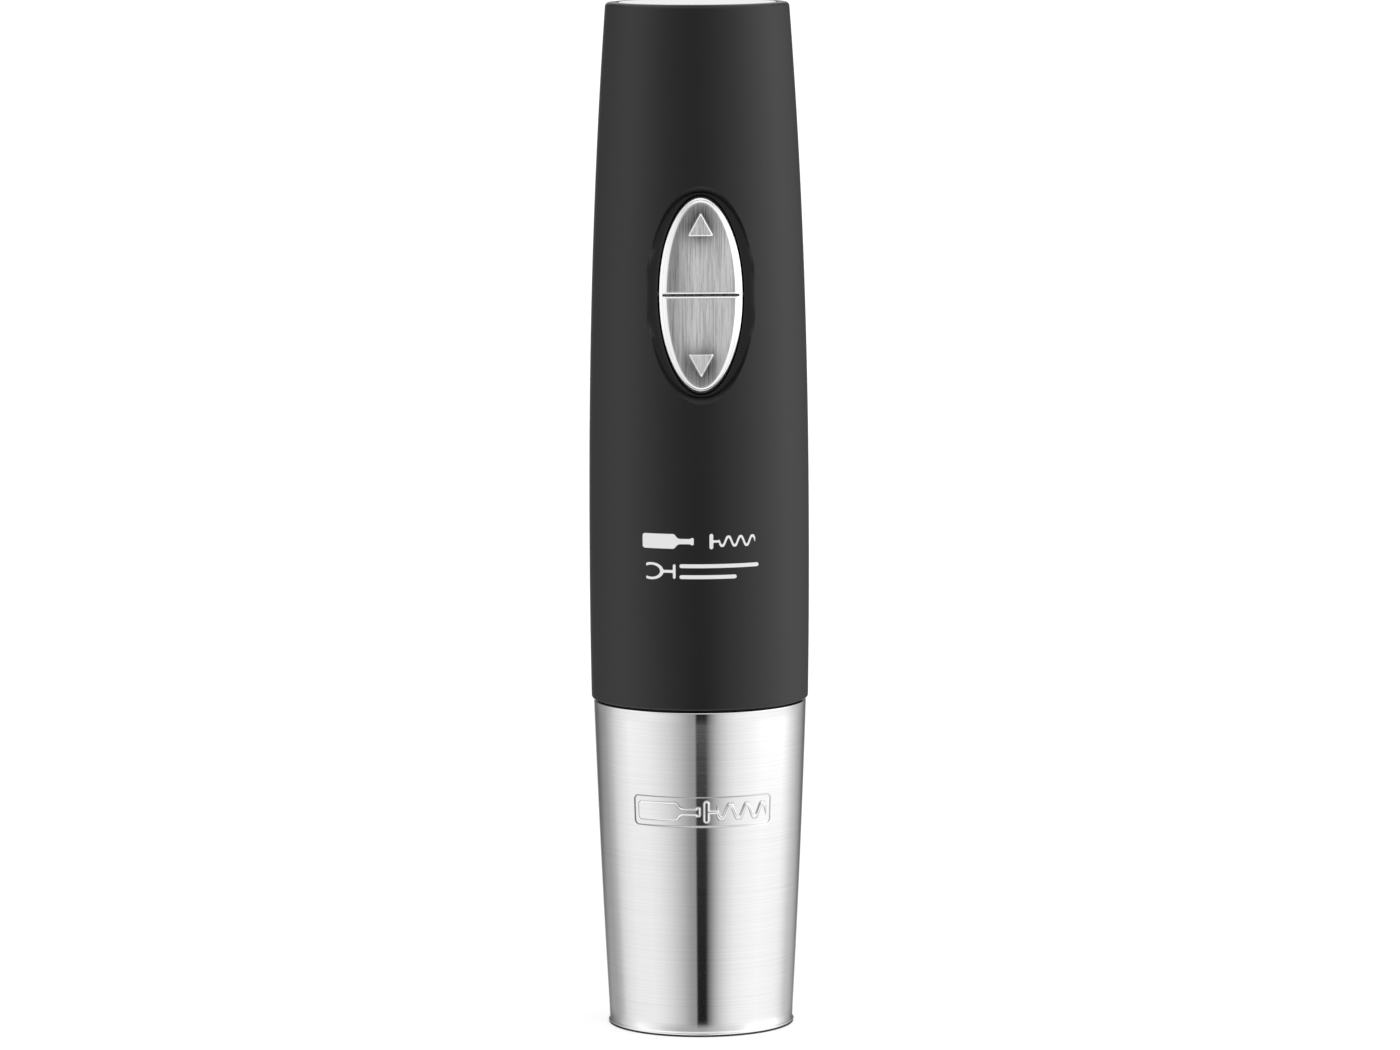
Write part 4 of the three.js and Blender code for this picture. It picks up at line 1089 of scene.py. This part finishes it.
oval = circle(240)
inner_fall = slope(oval) * bevel_width(oval)
outer_fall = inner_fall + slope(oval) * RIM_WIDTH
rings = []
for inset, drop in [
    (0.0, outer_fall + 0.9), (0.0, outer_fall + 0.06), (0.06, outer_fall),
    (0.4, outer_fall - 0.4 * slope(oval)),
    (RIM_WIDTH - 0.02, inner_fall), (RIM_WIDTH, inner_fall + 0.03), (RIM_WIDTH, GROOVE_DEPTH),
]:
    u, v = (PLATE_A - inset) * np.cos(oval), (PLATE_B - inset) * np.sin(oval)
    rings.append(button_point(u, v, crown(u, v) - drop))
for share in (0.6, 0.3):
    u, v = share * (PLATE_A - RIM_WIDTH) * np.cos(oval), share * (PLATE_B - RIM_WIDTH) * np.sin(oval)
    rings.append(button_point(u, v, crown(u, v) - GROOVE_DEPTH))
rim = make_piece("rocker_rim", *skin(np.stack(rings), start_pole=True, end_pole=True), sharp=50)
write_values(rim, "polish", np.concatenate([np.repeat([1.0] * 6 + [0.0] * 3, len(oval)), [1.0, 0.0]]))
# painted shade: the three rings of the groove floor are painted fully dark
write_values(rim, "wash", np.concatenate([np.repeat([0.0] * 6 + [1.0] * 3, len(oval)), [0.0, 1.0]]))
settle(rim, "rocker", "brushed_steel", BUTTON_STEEL, "rocker_plate")

ARROW_BASE_V, ARROW_TIP_V, ARROW_HALF = 15.0, 20.9, 3.25
ARROW_LIFT, ARROW_FALL, ARROW_DEPTH = 0.25, 0.20, 0.2


def arrow_outline(side, inset):
    """A triangle with rounded corners, drawn in evenly by scaling about the centre of its inner circle."""
    tall = ARROW_TIP_V - ARROW_BASE_V
    slant = math.hypot(ARROW_HALF, tall)
    inner_radius = ARROW_HALF * tall / (ARROW_HALF + slant)
    scale = 1 - inset / inner_radius
    corners = np.array([(-ARROW_HALF, 0.0), (ARROW_HALF, 0.0), (0.0, tall)]) - (0.0, inner_radius)
    outline = rounded_polygon(corners * scale, 0.3 * scale) + (0.0, ARROW_BASE_V + inner_radius)
    return outline * side


for label, side in (("upper", 1), ("lower", -1)):
    field_a, field_b = PLATE_A - RIM_WIDTH + 0.01, PLATE_B - RIM_WIDTH + 0.01
    outer = half_oval(side, field_a, field_b, GROOVE_HALF)
    inner = half_oval(side, field_a - 1.05, field_b - 0.65, GROOVE_HALF + 0.36)
    fall = np.full(len(outer), GROOVE_BEVEL)
    bow = np.linspace(0, math.pi, BOW_POINTS)
    fall[:BOW_POINTS] = slope(bow) * bevel_width(bow)
    piece = pad(f"rocker_field_{label}", outer, inner, 0.0, fall, FIELD_DEPTH, True, 40)
    settle(piece, "rocker", "brushed_steel", BUTTON_STEEL)
    outer, inner, skirt = (arrow_outline(side, inset) for inset in (0.0, 0.26, -0.17))
    fall = np.full(len(outer), ARROW_FALL)
    piece = pad(f"rocker_arrow_{label}", outer, inner, ARROW_LIFT, fall, ARROW_DEPTH, False, 10, skirt)
    settle(piece, "rocker", "brushed_steel", BUTTON_STEEL)

# %% [markdown]
# ## Screws
# Four pan-head screws sit deep in the wells of the rear shell. A head is a disc whose height drops
# in a cross: the distance to two crossed slots, turned into depth.

# %% Press the screw heads
HEAD_R, HEAD_ROUND, HEAD_TOP_Y = 2.6, 0.4, 10.0
SLOT_LENGTH, SLOT_WIDTH, SLOT_DEPTH = 1.5, 0.32, 0.9
SHANK_R, SHANK_END_Y = 1.1, -9.0
flat_r = HEAD_R - HEAD_ROUND
edge_reach = flat_r + HEAD_ROUND * np.sin(np.linspace(0.2, math.pi / 2, 5))
reach = np.concatenate([np.linspace(0.08, flat_r, 22), edge_reach])[:, None]
head_angles = circle(96)
u, v = reach * np.cos(head_angles), reach * np.sin(head_angles)
slot_distance = np.minimum(
    to_rounded_box(u, v, 0, 0, SLOT_LENGTH, SLOT_WIDTH, 0.1),
    to_rounded_box(u, v, 0, 0, SLOT_WIDTH, SLOT_LENGTH, 0.1),
)
rounded = HEAD_ROUND * (1 - np.cos(np.clip((reach - flat_r) / HEAD_ROUND, 0, 1) * math.pi / 2))
cross = SLOT_DEPTH * smoothstep(0.08, -0.08, slot_distance)
head_y = HEAD_TOP_Y - rounded - cross - 0.05 * (reach / HEAD_R) ** 2
head = np.stack([u, head_y, v], -1)
shank = [
    np.stack([r * np.cos(head_angles), np.full(len(head_angles), y), r * np.sin(head_angles)], -1)
    for r, y in ((HEAD_R, 7.9), (SHANK_R, 7.85), (SHANK_R, SHANK_END_Y), (0.3, SHANK_END_Y - 1))
]
screw_rings = np.vstack([head, np.stack(shank)])
for number, (x, z) in enumerate(SCREW_PLACES, 1):
    rings = screw_rings + np.array([x, 0, z])
    piece = make_piece(f"screw_head_{number}", *skin(rings, start_pole=True, end_pole=True))
    settle(piece, "handle", "gear_steel", SCREW_STEEL, f"shell_screw_{number}")

# %% [markdown]
# ## The studio
# The opener stands on a plain white sweep inside a white tent. What makes steel look like steel is
# what it mirrors: bright walls left and right, and a narrow dark slot where the camera looks in.
# The tent is a world shader that depends on the compass direction, with black cards behind the
# object on both sides, which draw the thin dark lines at its edges. It has two rows of walls: the
# collar leans down and mirrors the low row, and the handle and the button mirror the high row,
# which has no slot. The camera itself sees plain white.

# %% The floor
floor_mesh = bpy.data.meshes.new("floor")
SPAN = 14.0
floor_corners = [(-SPAN, -SPAN, 0), (SPAN, -SPAN, 0), (SPAN, SPAN, 0), (-SPAN, SPAN, 0)]
floor_mesh.from_pydata(floor_corners, [], [(0, 1, 2, 3)])
floor = bpy.data.objects.new("floor", floor_mesh)
bpy.context.scene.collection.objects.link(floor)
paper = Finish("white_paper")
fibre = paper.noise(300.0, detail=2.0)
floor_mesh.materials.append(
    paper.surface(
        {"Roughness": 0.9, "Emission Strength": 0.35, "Emission Color": (1, 1, 1, 1)},
        Base_Color=paper.blend(fibre, (0.9, 0.9, 0.9, 1), (0.92, 0.92, 0.92, 1)),
    )
)
floor.visible_glossy = False

# %% Compass directions in the tent
world = bpy.data.worlds.new("white_tent")
world.use_nodes = True
world.node_tree.nodes.clear()
bpy.context.scene.world = world
tent = Finish("tent", world.node_tree)
direction = tent.node("ShaderNodeTexCoord", {}, output="Generated")
parts = tent.tree.nodes.new("ShaderNodeSeparateXYZ")
tent.tree.links.new(direction.socket, parts.inputs[0])
dx, dy, dz = (Value(tent, parts.outputs[k]) for k in range(3))
compass = dx.math("ARCTAN2", dy * -1.0) / (2 * math.pi) + 0.5

# %% The walls, as brightness at angles in degrees from the front, rising to the right
LOW_WALLS = [
    (-180, 0.95), (-173, 0.95), (-164, 0.22), (-145, 0.32), (-130, 0.34), (-118, 0.45), (-108, 0.66),
    (-98, 0.76), (-83, 0.82), (-62, 0.83), (-49, 0.77), (-37, 0.66), (-25, 0.505), (-13.6, 0.315),
    (-6.6, 0.26), (-6.0, 0.006), (4.9, 0.006), (7.7, 0.13), (15, 0.38), (21, 0.55), (30, 0.715),
    (39, 0.83), (51, 0.885), (71, 0.925), (94, 0.885), (103, 0.85), (113, 0.745), (124, 0.555),
    (138, 0.455), (160, 0.22), (173, 0.95), (180, 0.95),
]
TENT_STRENGTH = 1.1
HIGH_WALLS = [
    (-180, 0.66), (-173, 0.66), (-164, 0.10), (-153, 0.10), (-128, 0.25), (-112, 0.46), (-98, 0.60),
    (-86, 0.79), (-75, 0.75), (-65, 0.67), (-55, 0.57), (-46, 0.46), (-37, 0.40), (-28, 0.325),
    (-20, 0.305), (0, 0.28), (13.6, 0.36), (22, 0.42), (31, 0.52), (39, 0.565), (48, 0.66),
    (57.6, 0.80), (67, 0.93), (78, 1.0), (101, 1.0), (115, 0.66), (133, 0.36), (155, 0.12),
    (164, 0.10), (173, 0.66), (180, 0.66),
]
HIGH_GAIN = 1.27


def ring_of_walls(levels):
    """A ramp of brightness round the compass."""
    stops = [((angle + 180) / 360, (level, level, level, 1)) for angle, level in levels]
    return tent.node("ShaderNodeValToRGB", {"stops": stops}, compass)


# %% Blend the walls by height, and light the world with them
is_high = (dz * 25 + 5.25).clamp()
is_steep = (dz.math("ABSOLUTE") * 3.4 - 1.6).clamp()
is_overhead = (dz * 30 - 28.3).clamp()
high_walls = tent.node(
    "ShaderNodeVectorMath", {"operation": "MULTIPLY"}, ring_of_walls(HIGH_WALLS), (HIGH_GAIN,) * 3
)
light = tent.blend(is_high, ring_of_walls(LOW_WALLS), high_walls)
light = tent.blend(is_steep, light, (1.0, 1.0, 1.0, 1))
light = tent.blend(is_overhead, light, (0.10, 0.10, 0.10, 1))
seen = tent.node("ShaderNodeLightPath", {}, output="Is Camera Ray")
shown = tent.blend(seen, light, (1.0, 1.0, 1.0, 1))
background = tent.tree.nodes.new("ShaderNodeBackground")
tent.tree.links.new(shown.socket, background.inputs[0])
background.inputs[1].default_value = TENT_STRENGTH
output = tent.tree.nodes.new("ShaderNodeOutputWorld")
tent.tree.links.new(background.outputs[0], output.inputs[0])
bpy.context.scene.view_settings.view_transform = "Standard"
print("tent:", len(LOW_WALLS), "low and", len(HIGH_WALLS), "high wall stops, strength", TENT_STRENGTH)
